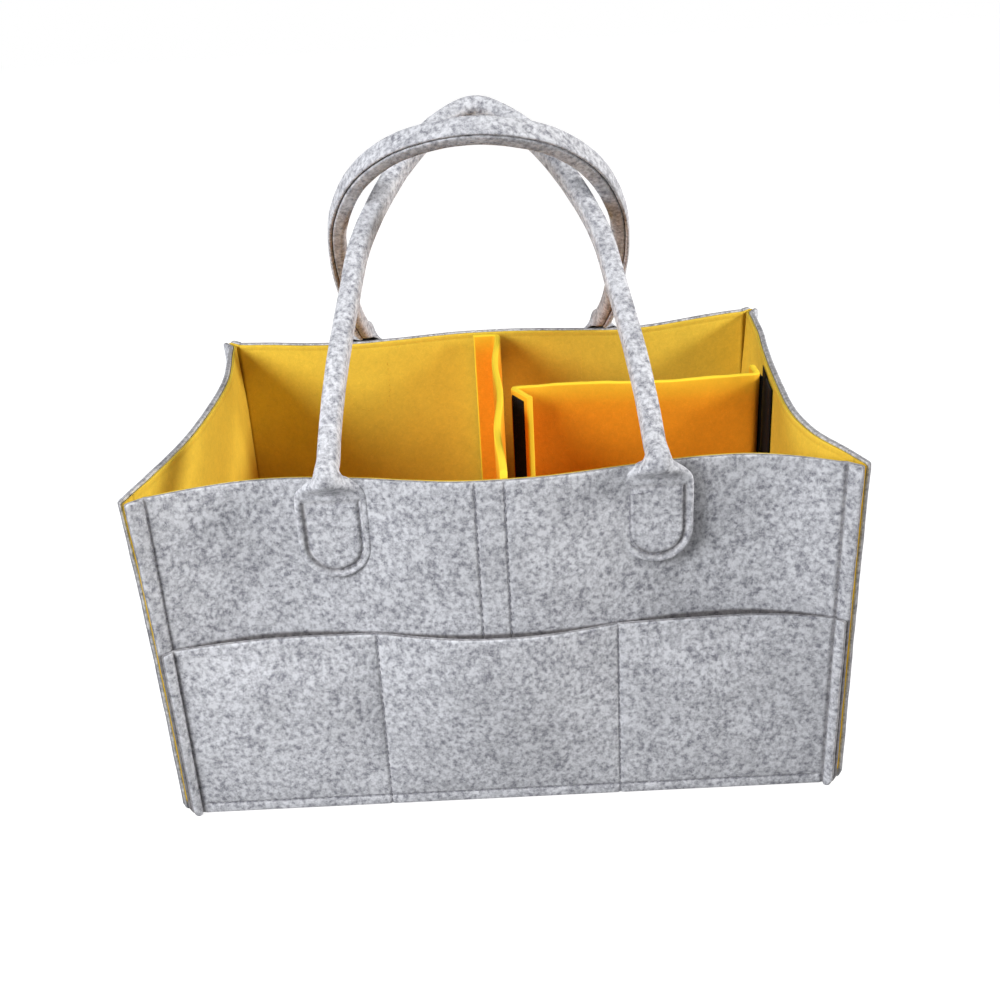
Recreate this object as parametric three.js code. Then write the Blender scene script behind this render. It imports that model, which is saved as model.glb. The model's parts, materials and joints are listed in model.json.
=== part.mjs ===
// A felt caddy for nursery things: an open box of grey felt with a yellow lining, raw corner seams,
// pocket strips outside, lift-out dividers inside and two arched handles that are tucked together.
// Millimetres, +Z up, the origin on the floor under the middle of the base, the front towards -Y.
import * as THREE from 'three';

// The box, measured over the outer faces of its walls.
const LENGTH = 327.6;
const DEPTH = 238;
const HEIGHT = 175;

// Felt plies. Touching plies of one wall keep PLY_GAP between them.
const FELT = 3;
const LINING = 1.8;
const PLY_GAP = 0.3;

// Corner seams: both walls turn outwards, and the stitching pinches their plies. A long wall turns
// by FIN_TURN degrees, and the end wall that meets it by what is left of the right angle.
const FIN_REACH = 9.2;
const FIN_TURN = 45;
const PINCH_SHARE = 0.95;

// How far the walls are drawn in by the handles and by their own slack, at the rim.
const LONG_WALL_BOW = 14;
const END_WALL_BOW = 11;
const SEAM_BAND = 8;

// How each wall bows along its length: the place as a share of its half, and the bow's share there.
const FRONT_BOW_SHARES = [
  [-1, 0], [-0.85, 0.62], [-0.7, 1], [-0.4, 0.68], [-0.125, 0],
  [0.125, 0], [0.36, 0.55], [0.575, 1], [0.78, 1], [0.93, 0.4], [1, 0],
];
const BACK_BOW_SHARES = [
  [-1, 0], [-0.88, 0.2], [-0.73, 0.62], [-0.57, 0.78], [-0.39, 0.55], [-0.125, 0],
  [0.125, 0], [0.39, 0.5], [0.55, 0.72], [0.66, 0.63], [0.82, 0.36], [1, 0],
];
const LEFT_BOW_SHARES = [
  [-1, 0], [-0.84, -0.1], [-0.63, 0.28], [-0.44, 0.54], [-0.14, 0.78],
  [0.12, 0.88], [0.34, 0.81], [0.58, 0.55], [0.8, 0.2], [1, 0],
];
const RIGHT_BOW_SHARES = [
  [-1, 0], [-0.9, 0.3], [-0.78, 0.6], [-0.63, 0.9], [-0.44, 1.06], [-0.25, 1],
  [0.09, 0.72], [0.26, 0.5], [0.43, 0.34], [0.68, 0.07], [1, 0],
];

// Pocket strips. A stitch line holds the strip flat at each divide, and it gapes between them.
const POCKET_HEIGHT = 96;
const LEFT_POCKET_GAPE = 7;
const MIDDLE_POCKET_GAPE = 6;
const RIGHT_POCKET_GAPE = 8;
const POCKET_LEFT_DIVIDE = -61;
const POCKET_RIGHT_DIVIDE = 55;

// Handle ends, sewn to the walls as patches.
const PATCH_WIDTH = 33;
const PATCH_DROP = 48;
const PATCH_RISE = 0.6;
const PATCH_SHOULDER = 9;
const PATCH_SHOULDER_WIDTH = 7;

// Handles: felt rolled to a tube, flat at the neck where it turns over the rim.
const TUBE_WIDTH = 10;
const TUBE_DEPTH = 12.2;
const NECK_WIDTH = 20;
const NECK_DEPTH = 3.2;
const NECK_FLAT = 4;
const NECK_LENGTH = 15;
const NECK_CLEARANCE = 0.5;

const FRONT_HANDLE = {
  middle: -1,
  halfSpan: 75,
  rise: 215,
  lean: 50,
  // How far the arch sways to the right above its necks.
  sway: -1,
  // Half the arch, from the neck to the top: across as a share of halfSpan, up as a share of rise.
  archShares: [
    [1, 0], [0.985, 0.12], [0.95, 0.26], [0.875, 0.45], [0.81, 0.59],
    [0.68, 0.72], [0.51, 0.845], [0.31, 0.948], [0, 1],
  ],
};
const BACK_HANDLE = {
  middle: -5,
  halfSpan: 74,
  rise: 198,
  lean: 46,
  sway: 2,
  archShares: [
    [1, 0], [1.05, 0.13], [1.06, 0.3], [1.05, 0.48], [0.98, 0.66],
    [0.785, 0.835], [0.54, 0.935], [0.3, 0.98], [0, 1],
  ],
};

// Dividers and their hook strips. Each divider swings on one flap, past the fold between them.
const DIVIDER_FELT = 3.6;
const FOLD_GAP = 0.4;
const DIVIDER_TOP_GAP = 0.6;
const MID_DIVIDER_X = 4;
const MID_DIVIDER_WAVE = 1.4;
const MID_DIVIDER_WAVES = 1;
const MID_FLAP = 15;
const MID_DIVIDER_SWING = 35;
const CROSS_DIVIDER_Y = 9;
const CROSS_DIVIDER_WAVE = 2;
const CROSS_DIVIDER_WAVES = 1.25;
const CROSS_OPEN_FLAP = 20;
const CROSS_OPEN_ANGLE = 28;
const CROSS_END_FLAP = 15;
const HOOK_STRIP_WIDTH = 12;
const HOOK_STRIP_FELT = 1.4;
const HOOK_STRIP_MARGIN = 3;
const WALL_STRIP_WIDTH = 18;

// How finely curved things are divided.
const LONG_COLUMNS = 16;
const END_COLUMNS = 12;
const POCKET_ROWS = 3;
const UPPER_ROWS = 3;
const PATCH_COLUMNS = 8;
const PATCH_ROWS = 4;
const TUBE_STEPS = 42;
const TUBE_SIDES = 10;
const DIVIDER_STEPS = 8;
const STRIP_COLUMNS = 3;

// Sizes that follow.
const WALL = FELT + PLY_GAP + LINING;
const INNER_HALF_LENGTH = LENGTH / 2 - WALL;
const INNER_HALF_DEPTH = DEPTH / 2 - WALL;
const LINING_FOOT = FELT + PLY_GAP;
const FLOOR_TOP = LINING_FOOT + LINING;
const OVER_WALL = WALL + PLY_GAP;
const LONG_TURN = THREE.MathUtils.degToRad(FIN_TURN);

const greyFelt = new THREE.MeshStandardMaterial({ color: 0xa7a9b0, roughness: 0.95 });
const handleFelt = new THREE.MeshStandardMaterial({ color: 0xb2b4ba, roughness: 0.95 });
const yellowFelt = new THREE.MeshStandardMaterial({ color: 0xe0a81f, roughness: 0.95 });
const dividerFelt = new THREE.MeshStandardMaterial({ color: 0xee9d18, roughness: 0.95 });
const hookTape = new THREE.MeshStandardMaterial({ color: 0x111214, roughness: 0.9 });

const caddy = new THREE.Group();

function addPiece(name, geometry, material) {
  const mesh = new THREE.Mesh(geometry, material);
  mesh.name = name;
  caddy.add(mesh);
  return mesh;
}

// A closed solid from points and triangles, turned so that its faces point out.
function solidFrom(points, triangles) {
  let volume = 0;
  for (const [a, b, c] of triangles) {
    volume += points[a].dot(new THREE.Vector3().crossVectors(points[b], points[c]));
  }
  const turned = volume < 0 ? triangles.map(([a, b, c]) => [a, c, b]) : triangles;
  const geometry = new THREE.BufferGeometry();
  geometry.setAttribute('position', new THREE.Float32BufferAttribute(points.flatMap((p) => p.toArray()), 3));
  geometry.setIndex(turned.flat());
  geometry.computeVertexNormals();
  return geometry;
}

// A sheet with thickness, from two grids of points with the same rows and columns.
function sheetSolid(innerGrid, outerGrid) {
  const rows = innerGrid.length;
  const columns = innerGrid[0].length;
  const points = [...innerGrid.flat(), ...outerGrid.flat()];
  const triangles = [];
  const index = (side, row, column) => (side * rows + row) * columns + column;
  for (let row = 0; row < rows - 1; row += 1) {
    for (let column = 0; column < columns - 1; column += 1) {
      for (const side of [0, 1]) {
        const a = index(side, row, column);
        const b = index(side, row, column + 1);
        const c = index(side, row + 1, column + 1);
        const d = index(side, row + 1, column);
        triangles.push(...(side ? [[a, b, c], [a, c, d]] : [[a, c, b], [a, d, c]]));
      }
    }
  }
  const edge = [];
  for (let column = 0; column < columns - 1; column += 1) edge.push([0, column]);
  for (let row = 0; row < rows - 1; row += 1) edge.push([row, columns - 1]);
  for (let column = columns - 1; column > 0; column -= 1) edge.push([rows - 1, column]);
  for (let row = rows - 1; row > 0; row -= 1) edge.push([row, 0]);
  edge.forEach(([row, column], i) => {
    const [nextRow, nextColumn] = edge[(i + 1) % edge.length];
    const a = index(0, row, column);
    const b = index(0, nextRow, nextColumn);
    const c = index(1, nextRow, nextColumn);
    const d = index(1, row, column);
    triangles.push([a, b, c], [a, c, d]);
  });
  return solidFrom(points, triangles);
}

// The bow grows from nothing at the base seam to its full size at the rim.
function bowHeightShare(z) {
  return 1 - ((HEIGHT - z) / (HEIGHT - SEAM_BAND)) ** 2;
}

// A smooth function through a table of places and their values.
function through(shares) {
  const places = shares.map(([place]) => place);
  const curve = new THREE.CubicInterpolant(places, shares.map(([, value]) => value), 1);
  return (place) => curve.evaluate(THREE.MathUtils.clamp(place, -1, 1))[0];
}

function evenSteps(from, to, count) {
  const steps = [];
  for (let i = 0; i <= count; i += 1) steps.push(THREE.MathUtils.lerp(from, to, i / count));
  return steps;
}

// The levels at which every wall's plies are divided, from the base seam to the rim.
const pocketLevels = evenSteps(SEAM_BAND, POCKET_HEIGHT, POCKET_ROWS);
const wallLevels = [...pocketLevels, ...evenSteps(POCKET_HEIGHT, HEIGHT, UPPER_ROWS).slice(1)];

// The stations along a wall, from corner to corner, the same for every ply of that wall.
function wallStations(half, columns, divides) {
  const even = evenSteps(-half, half, columns);
  const apart = even.filter((u) => divides.every((divide) => Math.abs(divide - u) > PLY_GAP));
  return [...apart, ...divides].sort((a, b) => a - b);
}

// Each wall has u along it and w out of the box, from the middle of the box.
function longWall(way, bowShares) {
  const bowAt = through(bowShares);
  return {
    half: INNER_HALF_LENGTH,
    face: INNER_HALF_DEPTH,
    stations: wallStations(INNER_HALF_LENGTH, LONG_COLUMNS, [POCKET_LEFT_DIVIDE, POCKET_RIGHT_DIVIDE]),
    turn: LONG_TURN,
    bow: LONG_WALL_BOW,
    bowShare: (u) => bowAt(u / INNER_HALF_LENGTH),
    place: (u, w, z) => new THREE.Vector3(u, way * w, z),
  };
}

function endWall(way, bowShares) {
  const bowAt = through(bowShares);
  return {
    half: INNER_HALF_DEPTH,
    face: INNER_HALF_LENGTH,
    stations: wallStations(INNER_HALF_DEPTH, END_COLUMNS, []),
    turn: Math.PI / 2 - LONG_TURN,
    bow: END_WALL_BOW,
    bowShare: (u) => bowAt(u / INNER_HALF_DEPTH),
    place: (u, w, z) => new THREE.Vector3(way * w, u, z),
  };
}

const walls = {
  front: longWall(-1, FRONT_BOW_SHARES),
  back: longWall(1, BACK_BOW_SHARES),
  left: endWall(-1, LEFT_BOW_SHARES),
  right: endWall(1, RIGHT_BOW_SHARES),
};

// A function's value at x, in straight steps between its values at the given places.
function inSteps(places, valueAt, x) {
  const last = places.length - 1;
  const held = THREE.MathUtils.clamp(x, places[0], places[last]);
  const next = Math.max(places.findIndex((place) => place >= held), 1);
  const share = (held - places[next - 1]) / (places[next] - places[next - 1]);
  return THREE.MathUtils.lerp(valueAt(places[next - 1]), valueAt(places[next]), share);
}

// How far the wall is drawn in at u and z, in the same straight steps as its plies.
function drawnIn(wall, u, z) {
  return wall.bow * inSteps(wall.stations, wall.bowShare, u) * inSteps(wallLevels, bowHeightShare, z);
}

// One row of a ply's face: seam edge, bend, stations, bend, seam edge, at an offset from the inner face.
function plyRow(wall, offset, z, gape) {
  const pinched = PINCH_SHARE * offset + PLY_GAP / 2;
  const bend = wall.half + offset / Math.tan(wall.turn) - pinched / Math.sin(wall.turn);
  const tipAlong = wall.half + FIN_REACH * Math.cos(wall.turn) - pinched * Math.sin(wall.turn);
  const tipOut = wall.face + FIN_REACH * Math.sin(wall.turn) + pinched * Math.cos(wall.turn);
  const row = [wall.place(-tipAlong, tipOut, z), wall.place(-bend, wall.face + offset, z)];
  for (const u of wall.stations.slice(1, -1)) {
    row.push(wall.place(u, wall.face + offset + gape(u, z) - drawnIn(wall, u, z), z));
  }
  row.push(wall.place(bend, wall.face + offset, z), wall.place(tipAlong, tipOut, z));
  return row;
}

const flat = () => 0;

function plySolid(wall, inner, outer, levels, gape = flat) {
  const grid = (offset) => levels.map((z) => plyRow(wall, offset, z, gape));
  return sheetSolid(grid(inner), grid(outer));
}

// A pocket strip gapes between its seams: most at the mouth, nothing at the base seam.
function pocketGape(seams, gapes) {
  return (u, z) => {
    const right = seams.findIndex((seam) => seam > u);
    const left = seams[right - 1];
    const share = (u - left) / (seams[right] - left);
    const height = THREE.MathUtils.clamp((z - SEAM_BAND) / (POCKET_HEIGHT - SEAM_BAND), 0, 1);
    return gapes[right - 1] * Math.sin(Math.PI * share) * (1 - (1 - height) ** 2);
  };
}

function addPocketStrip(name, wall) {
  const seams = [-wall.half, POCKET_LEFT_DIVIDE, POCKET_RIGHT_DIVIDE, wall.half];
  const gape = pocketGape(seams, [LEFT_POCKET_GAPE, MIDDLE_POCKET_GAPE, RIGHT_POCKET_GAPE]);
  addPiece(name, plySolid(wall, OVER_WALL, OVER_WALL + FELT, [0, ...pocketLevels], gape), greyFelt);
}

// A flat piece that lies on a wall and follows its bow. Each row gives its height at each column.
function laidSolid(wall, inner, outer, columns, rows) {
  const grid = (offset) => rows.map((heightAt) => columns.map((u) => {
    const z = heightAt(u);
    return wall.place(u, wall.face + offset - drawnIn(wall, u, z), z);
  }));
  return sheetSolid(grid(inner), grid(outer));
}

// A handle's sewn end: round below, with sloping shoulders under the neck.
function addPatch(name, wall, middle) {
  const half = PATCH_WIDTH / 2;
  const top = HEIGHT + PATCH_RISE;
  const roundMiddle = HEIGHT - PATCH_DROP + half;
  const columns = [];
  for (let i = 0; i <= PATCH_COLUMNS; i += 1) {
    columns.push(middle + half * Math.sin(Math.PI * (i / PATCH_COLUMNS - 0.5)));
  }
  const lowEdge = (u) => roundMiddle - Math.sqrt(Math.max(half ** 2 - (u - middle) ** 2, 0));
  const highEdge = (u) => {
    const past = Math.max(Math.abs(u - middle) - (half - PATCH_SHOULDER_WIDTH), 0) / PATCH_SHOULDER_WIDTH;
    return top - PATCH_SHOULDER * (1 - Math.sqrt(Math.max(1 - past ** 2, 0)));
  };
  const rows = evenSteps(0, 1, PATCH_ROWS).map((share) => (
    (u) => THREE.MathUtils.lerp(lowEdge(u), highEdge(u), share)
  ));
  addPiece(name, laidSolid(wall, OVER_WALL, OVER_WALL + FELT, columns, rows), handleFelt);
}

// Where a handle's neck turns: the line along X over its patches, at the one that stands out further.
function neckLine(wall, handle) {
  const reach = wall.face + OVER_WALL + FELT / 2;
  const left = drawnIn(wall, handle.middle - handle.halfSpan, HEIGHT);
  const right = drawnIn(wall, handle.middle + handle.halfSpan, HEIGHT);
  return {
    out: reach - Math.min(left, right),
    height: HEIGHT + PATCH_RISE + NECK_DEPTH / 2 + NECK_CLEARANCE,
  };
}

// A handle is a loft in its own leaning plane, flat and wide at both necks and round between them.
function addHandle(name, wall, handle) {
  const neck = neckLine(wall, handle);
  const lean = THREE.MathUtils.degToRad(handle.lean);
  const half = handle.archShares.map(([across, up]) => [across * handle.halfSpan, up * handle.rise]);
  const rising = half.map(([across, up]) => new THREE.Vector3(-across, up, 0));
  const falling = half.slice(0, -1).reverse().map(([across, up]) => new THREE.Vector3(across, up, 0));
  const arch = new THREE.CatmullRomCurve3([...rising, ...falling], false, 'centripetal');
  const total = arch.getLength();
  const rings = [];
  for (let step = 0; step <= TUBE_STEPS; step += 1) {
    const share = step / TUBE_STEPS;
    const point = arch.getPointAt(share);
    const along = arch.getTangentAt(share);
    const fromNeck = Math.min(share, 1 - share) * total;
    const round = THREE.MathUtils.smoothstep(fromNeck, NECK_FLAT, NECK_LENGTH);
    const slim = THREE.MathUtils.smoothstep(fromNeck, 0, NECK_LENGTH);
    const swayed = handle.sway * (1 - (1 - THREE.MathUtils.clamp(point.y / handle.rise, 0, 1)) ** 3);
    const across = THREE.MathUtils.lerp(NECK_WIDTH, TUBE_WIDTH, slim) / 2;
    const deep = THREE.MathUtils.lerp(NECK_DEPTH, TUBE_DEPTH, round) / 2;
    const ring = [];
    for (let side = 0; side < TUBE_SIDES; side += 1) {
      const angle = (2 * Math.PI * (side + 0.5)) / TUBE_SIDES;
      const sideways = across * Math.cos(angle);
      const thick = deep * Math.sin(angle);
      const x = handle.middle + swayed + point.x - along.y * sideways;
      const up = point.y + along.x * sideways;
      const out = neck.out - up * Math.sin(lean) + thick * Math.cos(lean);
      const z = neck.height + up * Math.cos(lean) + thick * Math.sin(lean);
      ring.push(wall.place(x, out, z));
    }
    rings.push(ring);
  }
  addPiece(name, loftSolid(rings), handleFelt);
}

// A closed loft through rings that all have the same number of points.
function loftSolid(rings) {
  const sides = rings[0].length;
  const triangles = [];
  for (let ring = 0; ring < rings.length - 1; ring += 1) {
    for (let side = 0; side < sides; side += 1) {
      const next = (side + 1) % sides;
      const a = ring * sides + side;
      const b = ring * sides + next;
      triangles.push([a, b, b + sides], [a, b + sides, a + sides]);
    }
  }
  const last = (rings.length - 1) * sides;
  for (let side = 1; side < sides - 1; side += 1) {
    triangles.push([0, side + 1, side], [last, last + side, last + side + 1]);
  }
  return solidFrom(rings.flat(), triangles);
}

// A strip of felt that stands on edge: its plan runs along a line of points, at an even thickness.
function standingStrip(line, thickness, foot, top) {
  const left = [];
  const right = [];
  line.forEach((point, i) => {
    const before = line[Math.max(i - 1, 0)];
    const after = line[Math.min(i + 1, line.length - 1)];
    const into = new THREE.Vector2().subVectors(point, before).normalize();
    const onward = new THREE.Vector2().subVectors(after, point).normalize();
    if (i === 0) into.copy(onward);
    if (i === line.length - 1) onward.copy(into);
    const middle = new THREE.Vector2().addVectors(into, onward).normalize();
    const side = thickness / 2 / middle.dot(into);
    left.push(new THREE.Vector2(point.x - middle.y * side, point.y + middle.x * side));
    right.push(new THREE.Vector2(point.x + middle.y * side, point.y - middle.x * side));
  });
  const geometry = new THREE.ExtrudeGeometry(new THREE.Shape([...left, ...right.reverse()]), {
    depth: top - foot,
    bevelEnabled: false,
  });
  return geometry.translate(0, 0, foot);
}

const dividerFoot = FLOOR_TOP + PLY_GAP;
const dividerTop = HEIGHT - DIVIDER_TOP_GAP;
const stripFoot = dividerFoot + HOOK_STRIP_MARGIN;
const stripTop = dividerTop - HOOK_STRIP_MARGIN;
const hookSeat = HOOK_STRIP_FELT + 2 * PLY_GAP;

// How far a fastened flap starts from the fold line, so that the divider's end turns clear of it. It
// starts further out where the divider swings over it, by an angle in degrees.
const flapStart = Math.hypot(FOLD_GAP, DIVIDER_FELT / 2) + FOLD_GAP;

function flapStartUnder(swing) {
  const angle = THREE.MathUtils.degToRad(swing);
  return (DIVIDER_FELT / 2) * (1 / Math.cos(angle) + Math.tan(angle)) + FOLD_GAP;
}

function addStanding(name, line, thickness, foot, top, material) {
  addPiece(name, standingStrip(line, thickness, foot, top), material);
}

// A flap that stays fastened: it leaves the fold line in the given direction.
function addFastenedFlap(name, fold, way, start, length) {
  const line = [start, length].map((along) => fold.clone().addScaledVector(way, along));
  addStanding(name, line, DIVIDER_FELT, dividerFoot, dividerTop, dividerFelt);
}

// A hook strip on a divider's flap, given by its middle and the direction that it runs in.
function addHookStrip(name, middle, way) {
  const line = [-0.5, 0.5].map((share) => middle.clone().addScaledVector(way, share * HOOK_STRIP_WIDTH));
  addStanding(name, line, HOOK_STRIP_FELT, stripFoot, stripTop, hookTape);
}

// The mid divider runs from the front lining to the back lining. Both its flaps turn left.
function addMidDivider() {
  const end = INNER_HALF_DEPTH - hookSeat - DIVIDER_FELT / 2;
  const left = new THREE.Vector2(-1, 0);
  const fold = new THREE.Vector2(MID_DIVIDER_X, -end);
  const line = [new THREE.Vector2(MID_DIVIDER_X - MID_FLAP, end)];
  for (let i = 0; i < DIVIDER_STEPS; i += 1) {
    const share = i / DIVIDER_STEPS;
    const x = MID_DIVIDER_X + MID_DIVIDER_WAVE * Math.sin(2 * Math.PI * MID_DIVIDER_WAVES * share);
    line.push(new THREE.Vector2(x, end * (1 - 2 * share)));
  }
  line.push(new THREE.Vector2(MID_DIVIDER_X, FOLD_GAP - end));
  addStanding('mid_divider', line, DIVIDER_FELT, dividerFoot, dividerTop, dividerFelt);
  addFastenedFlap('mid_divider_front_flap', fold, left, flapStartUnder(MID_DIVIDER_SWING), MID_FLAP);
  const seat = INNER_HALF_DEPTH - PLY_GAP - HOOK_STRIP_FELT / 2;
  const stripX = MID_DIVIDER_X - MID_FLAP / 2;
  addHookStrip('mid_divider_front_hook_strip', new THREE.Vector2(stripX, -seat), left);
  addHookStrip('mid_divider_back_hook_strip', new THREE.Vector2(stripX, seat), left);
}

// The cross divider runs from the mid divider to the right end. Its left flap stands open towards
// the front, and its right flap turns back along the end lining.
function addCrossDivider() {
  const right = walls.right;
  const leftX = MID_DIVIDER_X + MID_DIVIDER_WAVE + DIVIDER_FELT + PLY_GAP + hookSeat;
  const openAngle = THREE.MathUtils.degToRad(CROSS_OPEN_ANGLE);
  const openWay = new THREE.Vector2(Math.sin(openAngle), -Math.cos(openAngle));
  const back = new THREE.Vector2(0, 1);
  const corner = new THREE.Vector2(leftX, CROSS_DIVIDER_Y);
  const foldY = CROSS_DIVIDER_Y + CROSS_DIVIDER_WAVE;
  const drawn = [0, foldY, foldY + CROSS_END_FLAP].map((y) => drawnIn(right, y, HEIGHT));
  const endFace = INNER_HALF_LENGTH - Math.max(...drawn);
  const fold = new THREE.Vector2(endFace - hookSeat - DIVIDER_FELT / 2, foldY);
  const line = [corner.clone().addScaledVector(openWay, CROSS_OPEN_FLAP), corner];
  for (let i = 1; i < DIVIDER_STEPS; i += 1) {
    const share = i / DIVIDER_STEPS;
    const wave = Math.sin(2 * Math.PI * CROSS_DIVIDER_WAVES * share);
    const x = THREE.MathUtils.lerp(leftX, fold.x, share);
    line.push(new THREE.Vector2(x, CROSS_DIVIDER_Y + CROSS_DIVIDER_WAVE * wave));
  }
  line.push(new THREE.Vector2(fold.x - FOLD_GAP, foldY));
  addStanding('cross_divider', line, DIVIDER_FELT, dividerFoot, dividerTop, dividerFelt);
  addFastenedFlap('cross_divider_right_flap', fold, back, flapStart, CROSS_END_FLAP);

  // The strip on the open flap faces the mid divider.
  const facing = new THREE.Vector2(openWay.y, -openWay.x);
  const openMiddle = corner.clone().addScaledVector(openWay, CROSS_OPEN_FLAP / 2)
    .addScaledVector(facing, DIVIDER_FELT / 2 + PLY_GAP + HOOK_STRIP_FELT / 2);
  addHookStrip('cross_divider_left_hook_strip', openMiddle, openWay);
  const endMiddle = new THREE.Vector2(endFace - PLY_GAP - HOOK_STRIP_FELT / 2, foldY + CROSS_END_FLAP / 2);
  addHookStrip('cross_divider_right_hook_strip', endMiddle, back);
}

// A strip sewn to the right end's lining, just in front of the cross divider.
function addEndHookStrip() {
  const to = CROSS_DIVIDER_Y + CROSS_DIVIDER_WAVE - DIVIDER_FELT / 2 - PLY_GAP;
  const columns = evenSteps(to - WALL_STRIP_WIDTH, to, STRIP_COLUMNS);
  const rows = [stripFoot, ...wallLevels.slice(1, -1), stripTop].map((z) => () => z);
  addPiece('right_end_hook_strip', laidSolid(walls.right, -PLY_GAP - HOOK_STRIP_FELT, -PLY_GAP, columns,
    rows), hookTape);
}

function addBaseSheet(name, halfLength, halfDepth, foot, thickness, material) {
  const geometry = new THREE.BoxGeometry(2 * halfLength, 2 * halfDepth, thickness);
  addPiece(name, geometry.translate(0, 0, foot + thickness / 2), material);
}

for (const [name, wall] of Object.entries(walls)) {
  const piece = name === 'left' || name === 'right' ? `${name}_end` : name;
  addPiece(`${piece}_panel`, plySolid(wall, LINING + PLY_GAP, WALL, [0, ...wallLevels]), greyFelt);
  addPiece(`${piece}_lining`, plySolid(wall, 0, LINING, [LINING_FOOT, ...wallLevels]), yellowFelt);
}
addBaseSheet('base_panel', INNER_HALF_LENGTH + LINING, INNER_HALF_DEPTH + LINING, 0, FELT, greyFelt);
addBaseSheet('base_lining', INNER_HALF_LENGTH - PLY_GAP, INNER_HALF_DEPTH - PLY_GAP, LINING_FOOT, LINING,
  yellowFelt);

addPocketStrip('front_pocket_strip', walls.front);
addPocketStrip('back_pocket_strip', walls.back);

for (const [side, wall, handle] of [['front', walls.front, FRONT_HANDLE], ['back', walls.back, BACK_HANDLE]]) {
  addPatch(`${side}_left_patch`, wall, handle.middle - handle.halfSpan);
  addPatch(`${side}_right_patch`, wall, handle.middle + handle.halfSpan);
  addHandle(`${side}_handle`, wall, handle);
}

addMidDivider();
addCrossDivider();
addEndHookStrip();

export default caddy;
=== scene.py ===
import functools
import json
import math

import bpy
import numpy as np
from bpy.props import FloatProperty, FloatVectorProperty, PointerProperty
from mathutils import Matrix, Vector


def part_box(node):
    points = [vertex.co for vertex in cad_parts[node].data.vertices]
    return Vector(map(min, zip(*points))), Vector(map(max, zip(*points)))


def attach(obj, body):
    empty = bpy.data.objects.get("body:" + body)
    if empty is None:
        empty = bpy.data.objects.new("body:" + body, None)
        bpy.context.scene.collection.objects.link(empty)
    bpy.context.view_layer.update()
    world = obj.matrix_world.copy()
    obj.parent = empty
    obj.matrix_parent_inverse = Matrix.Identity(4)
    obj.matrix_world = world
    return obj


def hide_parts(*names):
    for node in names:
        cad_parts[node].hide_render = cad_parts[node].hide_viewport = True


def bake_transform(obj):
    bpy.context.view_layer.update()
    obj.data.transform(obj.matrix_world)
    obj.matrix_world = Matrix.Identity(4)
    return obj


bl_info = {
    "name": "Felt Caddy",
    "version": (1, 0, 0),
    "blender": (4, 5, 0),
    "location": "View3D > Sidebar > Felt Caddy",
    "description": "Sews a lined felt caddy with pockets, rolled handles and dividers around a fixed frame",
    "category": "Add Mesh",
}

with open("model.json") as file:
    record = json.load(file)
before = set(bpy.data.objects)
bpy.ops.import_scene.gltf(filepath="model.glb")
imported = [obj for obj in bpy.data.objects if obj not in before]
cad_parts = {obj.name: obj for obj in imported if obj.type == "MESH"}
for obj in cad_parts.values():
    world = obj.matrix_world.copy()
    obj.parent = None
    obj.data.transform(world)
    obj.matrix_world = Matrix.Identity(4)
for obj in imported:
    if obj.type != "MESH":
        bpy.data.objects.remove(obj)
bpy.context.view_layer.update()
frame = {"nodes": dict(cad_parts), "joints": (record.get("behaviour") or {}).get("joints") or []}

# Everything below is worked out in millimetres and becomes metres as a mesh is made.
MM = 0.001
X, Y, Z = 0, 1, 2
UP = np.array([0.0, 0.0, 1.0])
NEAR = 0.02
TINY = 1e-9
LEAST_TURN = 1e-5

# The box's own sizes, from the frame and, for what isn't a box there, as on the part itself.
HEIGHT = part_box("front_panel")[1].z / MM
POCKET_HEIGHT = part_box("front_pocket_strip")[1].z / MM
LINING_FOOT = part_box("front_lining")[0].z / MM
SEAM_BAND = 8
SEWN_DOWN = 0.2

# Steps of the felt meshes' grid lines, of stitched runs and of smooth lines, and where close lines lie.
FIN_STEP = 1.2
ALONG_STEP = 3.2
UP_STEP = 4.0
BASE_STEP = 8
RUN_STEP = 2.0
LINE_STEP = 1.0
SPAN_POINTS = 24
EDGE_LINE_SHARES = (0, 0.12, 0.45, 1)
STITCH_LINE_SHARES = (-1, -0.5, -0.2, 0.2, 0.5, 1)
CLOSE_SHARE = 0.3
FAR_FROM_CUTS = 99.0

# Uneven felt: the strength, pace and shift of each wave that a wander is made of.
WANDER_WAVES = ((1, 1, 1), (0.6, 2.3, 2.1), (0.4, 4.1, 0.7))
WANDER_SEED_TURN = 1.7
EDGE_WOBBLE = 0.35
FIN_WOBBLE_LENGTH = 37
TOP_WOBBLE_COLUMNS = 41
TOP_WOBBLE_SHARE = 0.5

# The waves in a wall's swell, along it and up it, and how flat the swell is.
SWELL_WAVES = ((23, 31), (-41, 27))
SWELL_FLATNESS = 6

# Corner seams.
SEAM_BEND_RADIUS = 1.5
SEAM_STITCH_FROM_BEND = 1.1
SEAM_STITCH_END = 2
SEAM_DIP_SHARE = 0.2
SEAM_DIP_WIDTH = 0.9
SEAM_PUFF_PLACE = 4.2
SEAM_PUFF_WIDTH = 2.4
SEAM_PUFF_SHARE = 0.08
SEAM_LINING_SQUEEZE = 0.45
SEAM_LINING_SHORT = 0.7
SEAM_FOOT_RADIUS = 3.5
SEAM_TOP_RADIUS = 1.5
FIN_LONGER = 1
LEFT_FLARE = 2.4
RIGHT_FLARE = 0.8
LINING_TOP_DROP = 0.5

# Cut felt edges: how far they may round off, and how dark they are painted, partly as the felt's own denser
# cut and partly as painted shade.
MOST_ROUND_SHARE = 0.85
CUT_SHADE = 0.85
SEAM_CUT_SHADE = 1.0
LINING_CUT_SHADE = 1.4

# At the rim the end walls run straight to the corners' tips, from this far before their bends.
OPEN_CORNER_RUN = 40
OPEN_CORNER_DROP = 45
OPEN_BACK_SHARE = 0.3
OPEN_CORNER_EASE_SHARE = 0.7

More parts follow.
